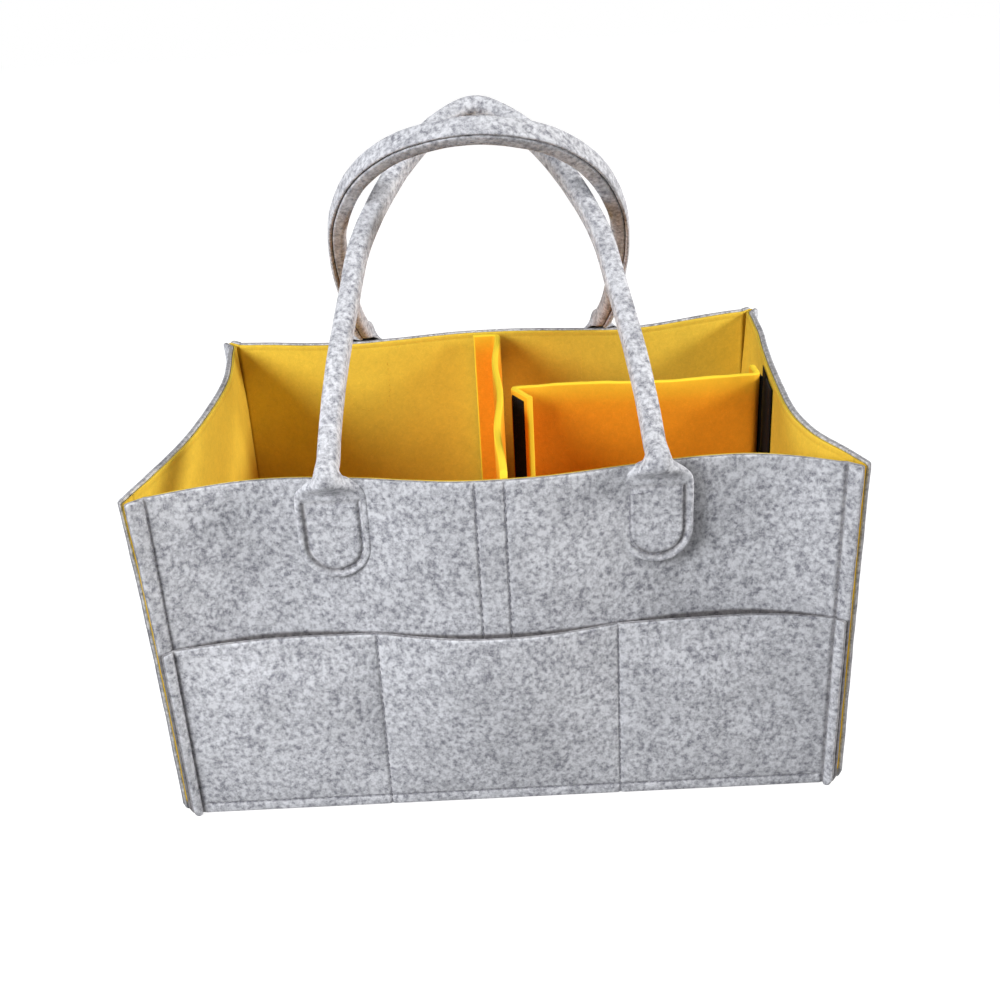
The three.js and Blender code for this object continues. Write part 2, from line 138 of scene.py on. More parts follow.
# The box's right back corner stands a little higher than the rest of its rim.
CORNER_LIFT = 5
CORNER_LIFT_FROM = (70, 20)
CORNER_LIFT_TO = (160, 118)

# Lines of stitching on the walls, as places along them and heights.
FOOT_STITCH_HEIGHT = 5.6
RIM_STITCH_DROP = 3.6
DOUBLE_STITCH_PLACES = (-9.5, 4)
POCKET_TUCK = 6
LEVEL_STITCH_SHORT = 3
UPRIGHT_STITCH_LOW = 0.5
UPRIGHT_STITCH_SHORT = 1
UPRIGHT_STITCH_TUCK = 2
UPRIGHT_FADE = 1
GROOVE_HALF_WIDTH = 1.5
GROOVE_WIDTH = 0.45 * GROOVE_HALF_WIDTH
# Painted shade in a stitched groove, and in the lining where a corner seam pinches it.
STITCH_SHADE = 0.36
RIM_STITCH_SHARE = 0.3
LINING_PINCH_SHADE = 0.6

# Pocket mouths, and the painted shade on the felt below a mouth, from one height to another off its edge.
MOUTH_SHADE = 1.3
MOUTH_SHADE_FROM = -1
MOUTH_SHADE_TO = 0.5
MOUTH_DRAWN_SHARE = 0.45
MOUTH_DRAWN_FROM = 30

# A stitch: how far its thread stands up and how thick it is, as shares of its radius, from end to end.
THREAD_SIDES = 6
STITCH_RISE_SHARES = (-1.4, 0.1, 0.55, 0.1, -1.4)
STITCH_GIRTH_SHARES = (0.35, 0.9, 1.0, 0.9, 0.35)
THREAD_SUNK_SHARE = 0.6

# The base's shallow waves.
BASE_WAVE = 0.12
BASE_WAVE_LENGTHS = (29, 23)

# The handles' sewn ends.
FELT = 3
PATCH_GAP = 0.3
PATCH_WIDTH = 34
PATCH_MARGIN = 4
PATCH_DROP = 49
PATCH_GROOVE_DEPTH = 1.4
PATCH_GROOVE_WIDTH = 1.1
PATCH_TOP_GROOVE_SHARE = 0.4
# Painted shade at a patch's cut edge and on the handle's inner face.
PATCH_EDGE_SHADE = 1.2
PATCH_EDGE_ROUND = 1.45
PATCH_FOOT_ROWS = (0.1, 0.35, 0.8)
PATCH_ROWS_FROM = 1.5
PATCH_ROW_STEP = 0.8
PATCH_ROWS_SHORT = 0.3
PATCH_THREAD_SHARE = 0.8
PATCH_THREAD_INSIDE = 0.05
PATCH_TURN_POINTS = 25
PATCH_SIDE_POINTS = 12
PATCH_ACROSS_POINTS = 15
SEWN_DROP = 13
GROOVE_FADE_BELOW = 1
GROOVE_FADE_ABOVE = 2

# The handles' roll. Its seam turns between a place off the strip's end and one before the arch's top.
ROLL_WIDTH = 10
ROLL_DEPTH = 12.2
ROLL_CLOSED_SHARE = 0.995
ROLL_MEAN = (ROLL_WIDTH + ROLL_DEPTH) / 2
ROLL_STRIP_WIDTH = math.pi * (ROLL_MEAN - FELT) * ROLL_CLOSED_SHARE
ROLL_SQUARE = 3.6
ROLL_RIDGE = 1.1
ROLL_RIDGE_WIDTH = 1.3
ROLL_TURN_FROM = 30
ROLL_TURN_BEFORE_TOP = 60
ROLL_LUMP_SHARE = 0.018
ROLL_LUMP_LENGTH = 60

# Heights above the neck, where the handle folds, between which the flat strip becomes the roll.
SHOULDER_FROM = -12
SHOULDER_TO = 1
NECK_CURL_FROM = -10
NECK_CURL_TO = 4.5
NECK_EVEN_FROM = -20
NECK_EVEN_TO = 10
NECK_PROUD_FROM = -3
NECK_PROUD_TO = 9

# The neck: where below the rim the strip starts to leave the wall, and how its line is smoothed.
NECK_RISE_DROP = 12
NECK_SMOOTHING = 9
NECK_SMOOTH_FROM = 6
NECK_SMOOTH_TO = 12

# The creases at the neck, and the length over which the felt bends with its hinge.
GATHER = 0.5
GATHER_PLACE = -2
GATHER_HEIGHT = 6.5
GATHER_CREASES = 5
GATHER_SHIFT = 0.3
GATHER_WIDTH_SHARE = 0.34

# Places across a handle strip, as shares of its width: close at its edges, and even for the roll.
STRIP_COLUMNS = 56
EVEN_SHARES = 0.5 * np.linspace(-1, 1, STRIP_COLUMNS)
EDGED_SHARES = 0.5 * np.sin(math.pi * EVEN_SHARES)

HANDLES = {
    "front": {
        "seed": 5,
        "half_span": 75,
        "rise": 215,
        "lean": 50,
        "sway": -1,
        "seam_turn": 0,
        "arch_shares": (
            (1, 0), (0.985, 0.12), (0.95, 0.26), (0.875, 0.45), (0.81, 0.59),
            (0.68, 0.72), (0.49, 0.85), (0.26, 0.95), (0, 1),
        ),
    },
    "back": {
        "seed": 4,
        "half_span": 74,
        "rise": 198,
        "lean": 46,
        "sway": 2,
        "seam_turn": 40,
        "arch_shares": (
            (1, 0), (1.05, 0.13), (1.06, 0.3), (1.05, 0.48), (0.98, 0.66),
            (0.785, 0.835), (0.54, 0.935), (0.3, 0.98), (0, 1),
        ),
    },
}

# Dividers.
DIVIDER_FELT = 3.6
DIVIDER_UP_STEP = 6
DIVIDER_ALONG_STEP = 1.6
DIVIDER_WOBBLE = 0.3
DIVIDER_WOBBLE_LENGTH = 60
DIVIDER_CUT_REACH_SHARE = 0.5
FOLD_RADIUS = 3.4
FOLD_POINTS = 9
FOLD_LENGTH_SHARE = 1.62
PLAN_STEP = 1.2
MID_LEAN = 2.2
MID_FLAP_DROP = 8
CROSS_WAVE = 2
CROSS_WAVES = 1.25
CROSS_FOOT_SHARE = 0.6
CROSS_FLAP_GAP = 0.6
OPEN_FLAP = 20
OPEN_ANGLE = 28
# Painted light: the dividers' felt turns towards the highlight colour near its top.
TOP_PAINTED_LIGHT_SHARE = 0.5
TOP_PAINTED_LIGHT_REACH = 16

# The hook strip on the right end, and how it thins to a film behind the divider's flap.
HOOK_TAPE = 1.4
END_TAPE_GAP = 0.3
END_TAPE_TUCK = 24
END_TAPE_THINS = 3
END_TAPE_FILM_INNER = 0.05
END_TAPE_FILM_OUTER = 0.2
END_TAPE_ALONG_STEP = 2
END_TAPE_UP_STEP = 5

# The camera, found from the box's edges in the photograph.
CAMERA_PLACE = (5.202, -598.633, 386.196)
CAMERA_FORWARD = (-0.006475, 0.908409, -0.418033)
CAMERA_DOWN = (-0.050853, -0.417800, -0.907115)
CAMERA_LENS = 42.054
CAMERA_SENSOR = 36
CAMERA_NEAR, CAMERA_FAR = 0.01, 50

# Light and floor. Their lengths are in metres, and a lamp's power is in watts.
SKY_LOW = 0.12
SKY_HIGH = 0.42
LAMPS = {
    "key": {
        "place": (1.8, -0.25, 0.95), "aim": (0, 0, 0.12), "size": 0.5, "power": 39.0,
        "colour": (1.0, 0.99, 0.965),
    },
    "fill": {
        "place": (-0.85, -0.75, 0.7), "aim": (-0.1, 0, 0.1), "size": 0.6, "power": 16.0,
        "colour": (0.97, 0.985, 1.0),
    },
}
FLOOR_LIFT = 0.87
FLOOR_REACH = 6.0
FLOOR_DROP = 0.0004

# Sockets of a Mix node that mixes colours.
MIX_SHARE, MIX_FIRST, MIX_SECOND, MIX_RESULT = 0, 6, 7, 2
WHITE = (1, 1, 1, 1)


class FeltCaddySizes(bpy.types.PropertyGroup):
    """Sizes of the felt work that a user may change."""

    edge_round: FloatProperty(
        name="Edge Rounding", description="How far a cut felt edge is rounded",
        default=0.0009, min=0.0001, max=0.0014, unit="LENGTH")
    stitch_length: FloatProperty(
        name="Stitch Length", description="Length of one stitch",
        default=0.0025, min=0.001, max=0.006, unit="LENGTH")
    stitch_gap: FloatProperty(
        name="Stitch Gap", description="Felt left between two stitches",
        default=0.0009, min=0.0002, max=0.004, unit="LENGTH")
    thread_radius: FloatProperty(
        name="Thread Radius", description="Radius of the sewing thread",
        default=0.00024, min=0.0001, max=0.0006, unit="LENGTH")
    groove_depth: FloatProperty(
        name="Groove Depth", description="How far a line of stitching pulls into the felt",
        default=0.00075, min=0, max=0.0014, unit="LENGTH")
    swell: FloatProperty(
        name="Swell", description="How far a wall's felt swells out between its seams",
        default=0.0005, min=0, max=0.0015, unit="LENGTH")


class FeltCaddyColours(bpy.types.PropertyGroup):
    """Colours of the felts, the tape and the thread."""

    grey_light: FloatVectorProperty(
        name="Light Grey Fibres", description="Colour of the felt's light fibres",
        subtype="COLOR", size=3, min=0, max=1, default=(0.64, 0.645, 0.68))
    grey_dark: FloatVectorProperty(
        name="Dark Grey Fibres", description="Colour of the felt's dark fibres",
        subtype="COLOR", size=3, min=0, max=1, default=(0.13, 0.13, 0.16))
    lining: FloatVectorProperty(
        name="Lining", description="Colour of the lining felt",
        subtype="COLOR", size=3, min=0, max=1, default=(0.76, 0.53, 0.055))
    divider: FloatVectorProperty(
        name="Dividers", description="Colour of the divider felt",
        subtype="COLOR", size=3, min=0, max=1, default=(0.82, 0.29, 0.011))
    # Painted highlight on the dividers' top and cut edges.
    divider_painted_highlight: FloatVectorProperty(
        name="Divider Edge Highlight", description="Colour of the dividers' cut edges",
        subtype="COLOR", size=3, min=0, max=1, default=(0.95, 0.68, 0.04))
    tape: FloatVectorProperty(
        name="Hook Tape", description="Colour of the hook tape",
        subtype="COLOR", size=3, min=0, max=1, default=(0.003, 0.003, 0.0035))
    grey_thread: FloatVectorProperty(
        name="Grey Thread", description="Colour of the thread in the grey felt",
        subtype="COLOR", size=3, min=0, max=1, default=(0.27, 0.27, 0.31))
    yellow_thread: FloatVectorProperty(
        name="Yellow Thread", description="Colour of the thread in the lining",
        subtype="COLOR", size=3, min=0, max=1, default=(0.76, 0.5, 0.045))
    floor: FloatVectorProperty(
        name="Floor", description="Colour of the floor",
        subtype="COLOR", size=3, min=0, max=1, default=(0.3, 0.3, 0.3))


def size_of(name):
    """A user's size in millimetres."""
    return getattr(bpy.context.scene.felt_caddy_sizes, name) / MM


def colours():
    return bpy.context.scene.felt_caddy_colours


def node_box(node):
    """A frame node's lowest and highest corner in millimetres."""
    low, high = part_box(node)
    return np.array(low) / MM, np.array(high) / MM


def node_points(node):
    """A frame node's corners in millimetres, each once."""
    mesh = frame["nodes"][node].data
    flat = np.empty(len(mesh.vertices) * 3, np.float32)
    mesh.vertices.foreach_get("co", flat)
    return np.unique(np.round(flat.reshape(-1, 3).astype(float) / MM, 2), axis=0)


def joint_point(name):
    """A joint's place in millimetres."""
    joint = next(j for j in frame["joints"] if j["name"] == name)
    return np.array(joint["pos_m"]) / MM


def unit(vectors):
    """Vectors of length one, along the last axis."""
    return vectors / np.maximum(np.linalg.norm(vectors, axis=-1, keepdims=True), TINY)


def smooth_step(low, high, value):
    share = np.clip((value - low) / (high - low), 0, 1)
    return share * share * (3 - 2 * share)


def bell(distance, width):
    """A soft bump that is 1 at no distance and fades over a width."""
    return np.exp(-(distance / width) ** 2)


def wander(place, seed, length):
    """A slow, repeatable wander between -1 and 1 along a line."""
    turns = 2 * math.pi * np.asarray(place, float) / length
    phase = WANDER_SEED_TURN * seed
    return sum(strength * np.sin(pace * turns + shift * phase) for strength, pace, shift in WANDER_WAVES) / 2


def hermite(t, start, start_slope, end, end_slope):
    """A cubic from start to end as t goes from 0 to 1, with a slope at each end."""
    return ((1 + 2 * t) * (1 - t) ** 2 * start + t * (1 - t) ** 2 * start_slope
            + t * t * (3 - 2 * t) * end + t * t * (t - 1) * end_slope)


def smooth_line(places, values):
    """A smooth function through values at rising places, flat beyond the ends."""
    places, values = np.asarray(places, float), np.asarray(values, float)
    slopes = np.gradient(values, places)

    def at(place):
        place = np.clip(place, places[0], places[-1])
        i = np.clip(np.searchsorted(places, place) - 1, 0, len(places) - 2)
        step = places[i + 1] - places[i]
        return hermite((place - places[i]) / step, values[i], step * slopes[i],
                       values[i + 1], step * slopes[i + 1])

    return at


def distances(line):
    """How far along a line each of its points lies."""
    return np.concatenate([[0], np.cumsum(np.linalg.norm(np.diff(line, axis=0), axis=1))])


def points_along(line, at):
    """A line's points at the given distances along it."""
    far = distances(line)
    return np.column_stack([np.interp(at, far, line[:, axis]) for axis in range(line.shape[1])])


def resampled(line, step):
    """Points at even steps along a line."""
    length = distances(line)[-1]
    return points_along(line, np.linspace(0, length, int(round(length / step)) + 1))


def grid_lines(start, end, step, stitches=(), plain_start=False, plain_end=False):
    """Places of a sheet's grid lines: even ones, and close ones at its cut edges and at stitching."""
    edge = size_of("edge_round")
    lines = np.linspace(start, end, max(int(round((end - start) / step)), 1) + 1)
    close = []
    if not plain_start:
        close += [start + share * edge for share in EDGE_LINE_SHARES]
    if not plain_end:
        close += [end - share * edge for share in EDGE_LINE_SHARES]
    for stitch in stitches:
        close += [stitch + share * GROOVE_HALF_WIDTH for share in STITCH_LINE_SHARES]
    apart = [line for line in lines if all(abs(line - other) > CLOSE_SHARE * step for other in close)]
    ends = [place for place, plain in ((start, plain_start), (end, plain_end)) if plain]
    return np.array(sorted(set(apart + close + ends)))


def from_cuts(lines):
    """Each grid line's distance from the nearer of its sheet's two cut edges."""
    return np.minimum(lines - lines[0], lines[-1] - lines)


def edge_ease(distance, radius):
    """How far a cut edge has rounded off, from 0 away from the edge to 1 on it."""
    near = np.clip(1 - distance / radius, 0, 1)
    return 1 - np.sqrt(1 - near ** 2)


def mesh_piece(name, points, faces, material, seam=None):
    """A mesh object from points in millimetres. seam is a share per point of painted shade, or of painted
    highlight on the dividers.
    """
    mesh = bpy.data.meshes.new(name)
    mesh.from_pydata((np.asarray(points) * MM).tolist(), [], faces)
    mesh.update()
    for polygon in mesh.polygons:
        polygon.use_smooth = True
    if seam is not None:
        layer = mesh.attributes.new("seam", "FLOAT", "POINT")
        layer.data.foreach_set("value", np.asarray(seam, np.float32).ravel())
    mesh.materials.append(material)
    piece = bpy.data.objects.new(name, mesh)
    bpy.context.scene.collection.objects.link(piece)
    return piece


def turned_over(faces):
    return [tuple(reversed(face)) for face in faces]


def sheet_faces(rows, columns):
    """Faces of a closed sheet: an inner grid, an outer grid and the band round their edges."""
    inner, outer = np.arange(2 * rows * columns).reshape(2, rows, columns)
    faces = []
    for row in range(rows - 1):
        for column in range(columns - 1):
            corners = (row, column), (row, column + 1), (row + 1, column + 1), (row + 1, column)
            faces.append(tuple(int(inner[corner]) for corner in reversed(corners)))
            faces.append(tuple(int(outer[corner]) for corner in corners))
    last_row, last_column = rows - 1, columns - 1
    border = ([(0, column) for column in range(last_column)]
              + [(row, last_column) for row in range(last_row)]
              + [(last_row, column) for column in range(last_column, 0, -1)]
              + [(row, 0) for row in range(last_row, 0, -1)])
    for here, there in zip(border, border[1:] + border[:1]):
        faces.append((int(inner[here]), int(inner[there]), int(outer[there]), int(outer[here])))
    return faces


def felt_sheet(name, inner, outer, edge_rows, edge_columns, material, slot, seam=0.0,
               row_shade=CUT_SHADE, column_shade=CUT_SHADE, cut_reach=NEAR):
    """A felt sheet from its two faces, rows by columns by three, with its cut edges rounded.

    edge_rows and edge_columns are each grid line's distance from the nearest cut edge. row_shade and
    column_shade are the painted shade of those cuts, partly the felt's own darker cut and partly shade, and
    a painted highlight in a material that takes one; cut_reach is how far they reach onto the faces.
    """
    middle = (inner + outer) / 2
    half = np.linalg.norm(outer - inner, axis=-1, keepdims=True) / 2
    radius = size_of("edge_round")
    ease = 1 - (1 - edge_ease(edge_rows, radius))[:, None] * (1 - edge_ease(edge_columns, radius))[None, :]
    keep = 1 - np.minimum(radius / np.maximum(half, TINY), MOST_ROUND_SHARE) * ease[..., None]
    inner, outer = middle + (inner - middle) * keep, middle + (outer - middle) * keep
    points = np.concatenate([inner.reshape(-1, 3), outer.reshape(-1, 3)])
    faces = sheet_faces(*inner.shape[:2])
    facing = np.cross(outer[0, 1] - outer[0, 0], outer[1, 0] - outer[0, 0])
    if np.dot(facing, outer[0, 0] - inner[0, 0]) < 0:
        faces = turned_over(faces)
    # Painted shade at the cut edges, or a painted highlight where the material takes one.
    cut_rows = row_shade * (edge_rows < cut_reach)[:, None]
    cut_columns = column_shade * (edge_columns < cut_reach)[None, :]
    shade = np.ravel(np.maximum(seam, np.maximum(cut_rows, cut_columns)))
    return mesh_piece(name, points, faces, material, np.concatenate([shade, shade]))


def past_bend(distance):
    """A distance past a bend, eased round its radius: 0 well before the bend, the whole beyond it."""
    radius = SEAM_BEND_RADIUS
    eased = (distance + radius) ** 2 / (4 * radius)
    return np.where(distance >= radius, distance, np.where(distance <= -radius, 0, eased))


class Wall:
    """One wall of the box: u runs along it, w out of the box and z up, in millimetres."""

    def __init__(self, name, along, way):
        self.name, self.along, self.way = name, along, way
        self.out = Y if along == X else X
        self.lining = self.ply_lines(f"{name}_lining")
        self.panel = self.ply_lines(f"{name}_panel")
        self.face = self.lining[0][1, 1]
        outer = self.panel[1]
        stations = outer[1:-1]
        self.bow = smooth_line(stations[:, 0], outer[1, 1] - stations[:, 1])
        self.half = stations[-1, 0]
        flares = {-1: LEFT_FLARE, 1: RIGHT_FLARE}
        self.flares = (LEFT_FLARE, RIGHT_FLARE) if along == X else (flares[way], flares[way])

    @property
    def outward(self):
        normal = np.zeros(3)
        normal[self.out] = self.way
        return normal

    def ply_lines(self, node):
        """A ply's inner and outer line at its top: seam tip, bend, stations along it, bend, tip."""
        points = node_points(node)
        top = points[points[:, Z] > points[:, Z].max() - NEAR]
        flat = np.column_stack([top[:, self.along], self.way * top[:, self.out]])
        pairs = flat[np.argsort(flat[:, 0], kind="stable")].reshape(-1, 2, 2)
        inner = np.array([pair[np.argmin(pair[:, 1])] for pair in pairs])
        outer = np.array([pair[np.argmax(pair[:, 1])] for pair in pairs])
        return inner, outer

    def place(self, u, w, z):
        """Points in the box's frame."""
        u, w, z = np.broadcast_arrays(u, w, z)
        points = np.empty(u.shape + (3,))
        points[..., self.along] = u
        points[..., self.out] = self.way * w
        corner_x, corner_y = (smooth_step(CORNER_LIFT_FROM[axis], CORNER_LIFT_TO[axis], points[..., axis])
                              for axis in (X, Y))
        points[..., Z] = z + CORNER_LIFT * corner_x * corner_y * (z / HEIGHT) ** 2
        return points

    def height_share(self, z):
        return 1 - ((HEIGHT - z) / (HEIGHT - SEAM_BAND)) ** 2

    def drawn_in(self, u, z):
        """How far the wall is drawn in, less what its felt swells out between the seams."""
        share = np.clip(self.height_share(z), 0, 1)
        calm = 1 - np.clip(np.abs(u) / self.half, 0, 1) ** SWELL_FLATNESS
        first, second = (u / along + z / up for along, up in SWELL_WAVES)
        waves = 1 + np.sin(first + len(self.name)) * np.cos(second)
        return self.bow(u) * share - size_of("swell") * calm * share * waves

    def offset(self, line):
        """How far a ply's line lies outside the wall's inner face."""
        return line[1, 1] - self.face

    def on_ply(self, line, u, z, lift, gape=None):
        """Points on a ply's line between the bends, lifted off it."""
        w = line[1, 1] + lift - self.drawn_in(u, z)
        if gape is not None:
            w = w + gape(u, z)
        return self.place(u, w, z)

    def row_points(self, line, fins, shares, z, gape=None, trim=None):
        """A ply's points, and how far each lies past the nearer bend, negative between the bends.

        Rows go by z, and columns by fins (0 tip to 1 bend), shares along the wall, and fins again. gape
        adds to w at places along the wall and heights, and trim shortens the fins at each height.
        """
        left_tip, left_bend, right_bend, right_tip = line[0], line[1], line[-2], line[-1]
        length = right_bend[0] - left_bend[0]
        z = np.asarray(z, float)[:, None]
        reach = np.linalg.norm(left_tip - left_bend) + np.zeros_like(z)
        reaches = [reach, reach]
        if trim is not None:
            reaches = [reach - trim[:, None] + flare * (z / HEIGHT) ** 3 for flare in self.flares]
        s = np.concatenate([
            -(1 - fins)[None, :] * reaches[0],
            np.broadcast_to(shares * length, (len(z), len(shares))),
            length + (1 - fins[::-1])[None, :] * reaches[1],
        ], axis=1)
        back = length - s
        left_way, right_way = unit(left_tip - left_bend), unit(right_tip - right_bend)
        u = (left_bend[0] + s + left_way[0] * past_bend(-s) + (past_bend(s) - s)
             + right_way[0] * past_bend(-back) - (past_bend(back) - back))
        w = left_bend[1] + left_way[1] * past_bend(-s) + right_way[1] * past_bend(-back)
        along = left_bend[0] + np.clip(s, 0, length)
        w = w - self.drawn_in(along, z)
        if gape is not None:
            w = w + gape(along, z)
        past = np.maximum(-s, -back)
        shift = self.seam_shift(line, past)
        u = u + shift * np.where(s < length / 2, 1.0, -1.0) * abs(left_way[1])
        w = w + shift * abs(left_way[0])
        if self.along == Y:
            u, w = self.opened_corners(u, w, z, s, back)
        return self.place(u, w, z), past

    def seam_shift(self, line, past):
        """How far a ply moves out past a bend. The seam pinches it the more, the further out it lies."""
        offset = self.offset(line)
        pinch = SEAM_DIP_SHARE * bell(past - SEAM_STITCH_FROM_BEND, SEAM_DIP_WIDTH)
        puff = SEAM_PUFF_SHARE * bell(past - SEAM_PUFF_PLACE, SEAM_PUFF_WIDTH)
        squeeze = SEAM_LINING_SQUEEZE * smooth_step(0, SEAM_PUFF_PLACE, past)
        return offset * (puff - pinch) - squeeze * min(offset, self.offset(self.lining[1]))

    def opened_corners(self, u, w, z, s, back):
        """An end wall's places with its rim run straight to the corners' tips."""
        opened = smooth_step(HEIGHT - OPEN_CORNER_DROP, HEIGHT, z)
        for beyond, tip, most in ((-s, 0, 1), (-back, -1, OPEN_BACK_SHARE)):
            start = np.argmin(np.abs(beyond[-1] + OPEN_CORNER_RUN))
            share = np.clip((beyond + OPEN_CORNER_RUN) / (beyond[:, [tip]] + OPEN_CORNER_RUN), 0, 1)
            eased = opened * most * smooth_step(0, OPEN_CORNER_EASE_SHARE, share)
            straight_u = u[:, [start]] + (u[:, [tip]] - u[:, [start]]) * share
            straight_w = w[:, [start]] + (w[:, [tip]] - w[:, [start]]) * share
            u, w = u + (straight_u - u) * eased, w + (straight_w - w) * eased
        return u, w


class PocketGape:
    """How far a pocket strip stands out between its stitched divides."""

    def __init__(self, wall):
        self.lines = wall.ply_lines(f"{wall.name}_pocket_strip")
        outer, behind = self.lines[1], wall.panel[1]
        stations = outer[1:-1]
        bow = np.interp(stations[:, 0], behind[1:-1, 0], behind[1, 1] - behind[1:-1, 1])
        levels = np.unique(node_points(f"{wall.name}_panel")[:, Z])
        share = np.interp(POCKET_HEIGHT, levels, wall.height_share(levels))
        stands = stations[:, 1] - outer[1, 1] + bow * share
        held = [i for i in range(1, len(stands) - 1) if abs(stands[i]) < SEWN_DOWN]
        self.seams = stations[[0, *held, -1], 0]
        self.gapes = []
        for left, right in zip(self.seams, self.seams[1:]):
            inside = (stations[:, 0] > left + NEAR) & (stations[:, 0] < right - NEAR)
            arch = np.sin(math.pi * (stations[inside, 0] - left) / (right - left))
            self.gapes.append(float(np.sum(stands[inside] * arch) / np.sum(arch * arch)))

    def __call__(self, u, z):
        height = np.clip((z - SEAM_BAND) / (POCKET_HEIGHT - SEAM_BAND), 0, 1)
        i = np.clip(np.searchsorted(self.seams, u) - 1, 0, len(self.gapes) - 1)
        share = (u - self.seams[i]) / (self.seams[i + 1] - self.seams[i])
        arch = np.sin(math.pi * np.clip(share, 0, 1))
        drawn = 1 - MOUTH_DRAWN_SHARE * smooth_step(POCKET_HEIGHT - MOUTH_DRAWN_FROM, POCKET_HEIGHT, z)
        return np.array(self.gapes)[i] * arch * (1 - (1 - height) ** 2) * drawn


@functools.cache
def walls():
    """The box's walls by name, measured on the frame."""
    ways = (("front", X, -1), ("back", X, 1), ("left_end", Y, -1), ("right_end", Y, 1))
    return {name: Wall(name, along, way) for name, along, way in ways}


@functools.cache
def gapes():
    """The gape of the pocket strips on the two long walls, by the wall's name."""
    return {name: PocketGape(walls()[name]) for name in ("front", "back")}


def feed(tree, socket, value):
    """Links a shader socket to another one, or sets its value."""
    if isinstance(value, bpy.types.NodeSocket):
        tree.links.new(value, socket)
    else:
        socket.default_value = value


def add_node(tree, kind, inputs=None, **settings):
    """A shader node with its settings and inputs. An input is a value, or a socket to link."""
    node = tree.nodes.new(kind)
    for name, value in settings.items():
        setattr(node, name, value)
    for name, value in (inputs or {}).items():
        feed(tree, node.inputs[name], value)
    return node


def maths(tree, operation, first, second):
    return add_node(tree, "ShaderNodeMath", {0: first, 1: second}, operation=operation).outputs[0]


def mixed(tree, share, first, second, blend="MIX"):
    """Two colours mixed by a share."""
    inputs = {MIX_SHARE: share, MIX_FIRST: first, MIX_SECOND: second}
    node = add_node(tree, "ShaderNodeMix", inputs, data_type="RGBA", blend_type=blend)
    return node.outputs[MIX_RESULT]


def ranged(tree, value, low, high, to_low=0.0, to_high=1.0):
    """A number moved from one range to another."""
    node = add_node(tree, "ShaderNodeMapRange", {
        "Value": value, "From Min": low, "From Max": high, "To Min": to_low, "To Max": to_high})
    return node.outputs[0]


def toned(tree, colour, tone):
    """A colour made lighter or darker by a number."""
    grey = add_node(tree, "ShaderNodeCombineColor", {0: tone, 1: tone, 2: tone}).outputs[0]
    return mixed(tree, 1.0, colour, grey, "MULTIPLY")


def object_place(tree):
    return tree.nodes.new("ShaderNodeTexCoord").outputs["Object"]


def painted_shading_mask(tree):
    """The share per point of painted shade, or on the dividers of painted highlight: in stitched grooves,
    seam pinches, cut edges, below pocket mouths and on the handles.
    """
    return add_node(tree, "ShaderNodeAttribute", attribute_name="seam").outputs["Fac"]


def new_group(name, inputs, outputs):
    """A shader node group with named sockets, with its input and output nodes."""
    group = bpy.data.node_groups.new(name, "ShaderNodeTree")
    for socket, kind, default in inputs:
        made = group.interface.new_socket(name=socket, in_out="INPUT", socket_type=kind)
        made.default_value = default
    for socket, kind in outputs:
        group.interface.new_socket(name=socket, in_out="OUTPUT", socket_type=kind)
    return group, group.nodes.new("NodeGroupInput"), group.nodes.new("NodeGroupOutput")


def made_once(kind):
    """Lets a function make what its first argument names once, and gives the same one after that."""

    def wrap(make):
        @functools.wraps(make)
        def found_or_made(name, *values):
            return getattr(bpy.data, kind).get(name) or make(name, *values)

        return found_or_made

    return wrap


def fibre_noise(group, place, turn, stretch, scale, detail, distortion):
    """Noise drawn out along one direction, as lying fibres are."""
    mapping = add_node(group, "ShaderNodeMapping", {
        "Vector": place, "Rotation": turn, "Scale": stretch})
    noise = add_node(group, "ShaderNodeTexNoise", {
        "Vector": mapping.outputs[0], "Scale": scale, "Detail": detail, "Roughness": 0.6,
        "Distortion": distortion})
    return noise.outputs[0]


@made_once("node_groups")
def felt_fibres_group(name):
    """Tangled felt fibres: how light each place is, how high it stands, and slow clouds."""
    group, given, out = new_group(
        name,
        [("Fineness", "NodeSocketFloat", 1.0)],
        [("Mottle", "NodeSocketFloat"), ("Fleck", "NodeSocketFloat"), ("Strand", "NodeSocketFloat"),
         ("Cloud", "NodeSocketFloat"), ("Height", "NodeSocketFloat")])
    scaled = add_node(group, "ShaderNodeVectorMath", {0: object_place(group)}, operation="SCALE")
    group.links.new(given.outputs["Fineness"], scaled.inputs["Scale"])
    place = scaled.outputs[0]
    mottle = fibre_noise(group, place, turn=(0.3, 0.2, 0.1), stretch=(1, 1, 1), scale=210, detail=4,
                         distortion=0.4)
    fleck = fibre_noise(group, place, turn=(0.9, 0.4, 1.3), stretch=(1, 1.2, 1), scale=430, detail=3,
                        distortion=0.0)
    first, second, third = (
        fibre_noise(group, place, turn, stretch, scale=420, detail=2, distortion=0.9)
        for turn, stretch in (((0.5, 0.7, 0.35), (1, 4, 1)), ((-0.6, 0.5, -0.9), (4, 1, 1.2)),
                              ((0.2, -0.8, 1.9), (1, 1, 4))))
    strand = maths(group, "MAXIMUM", maths(group, "MAXIMUM", first, second), third)
    cloud = fibre_noise(group, place, turn=(0, 0, 0), stretch=(1, 1, 1), scale=34, detail=3,
                        distortion=0.6)
    fine = maths(group, "ADD", maths(group, "MULTIPLY", fleck, 0.3), maths(group, "MULTIPLY", strand, 0.6))
    height = maths(group, "ADD", maths(group, "MULTIPLY", mottle, 0.45), fine)
    for output, socket in (("Mottle", mottle), ("Fleck", fleck), ("Strand", strand), ("Cloud", cloud),
                           ("Height", height)):
        group.links.new(socket, out.inputs[output])
    return group


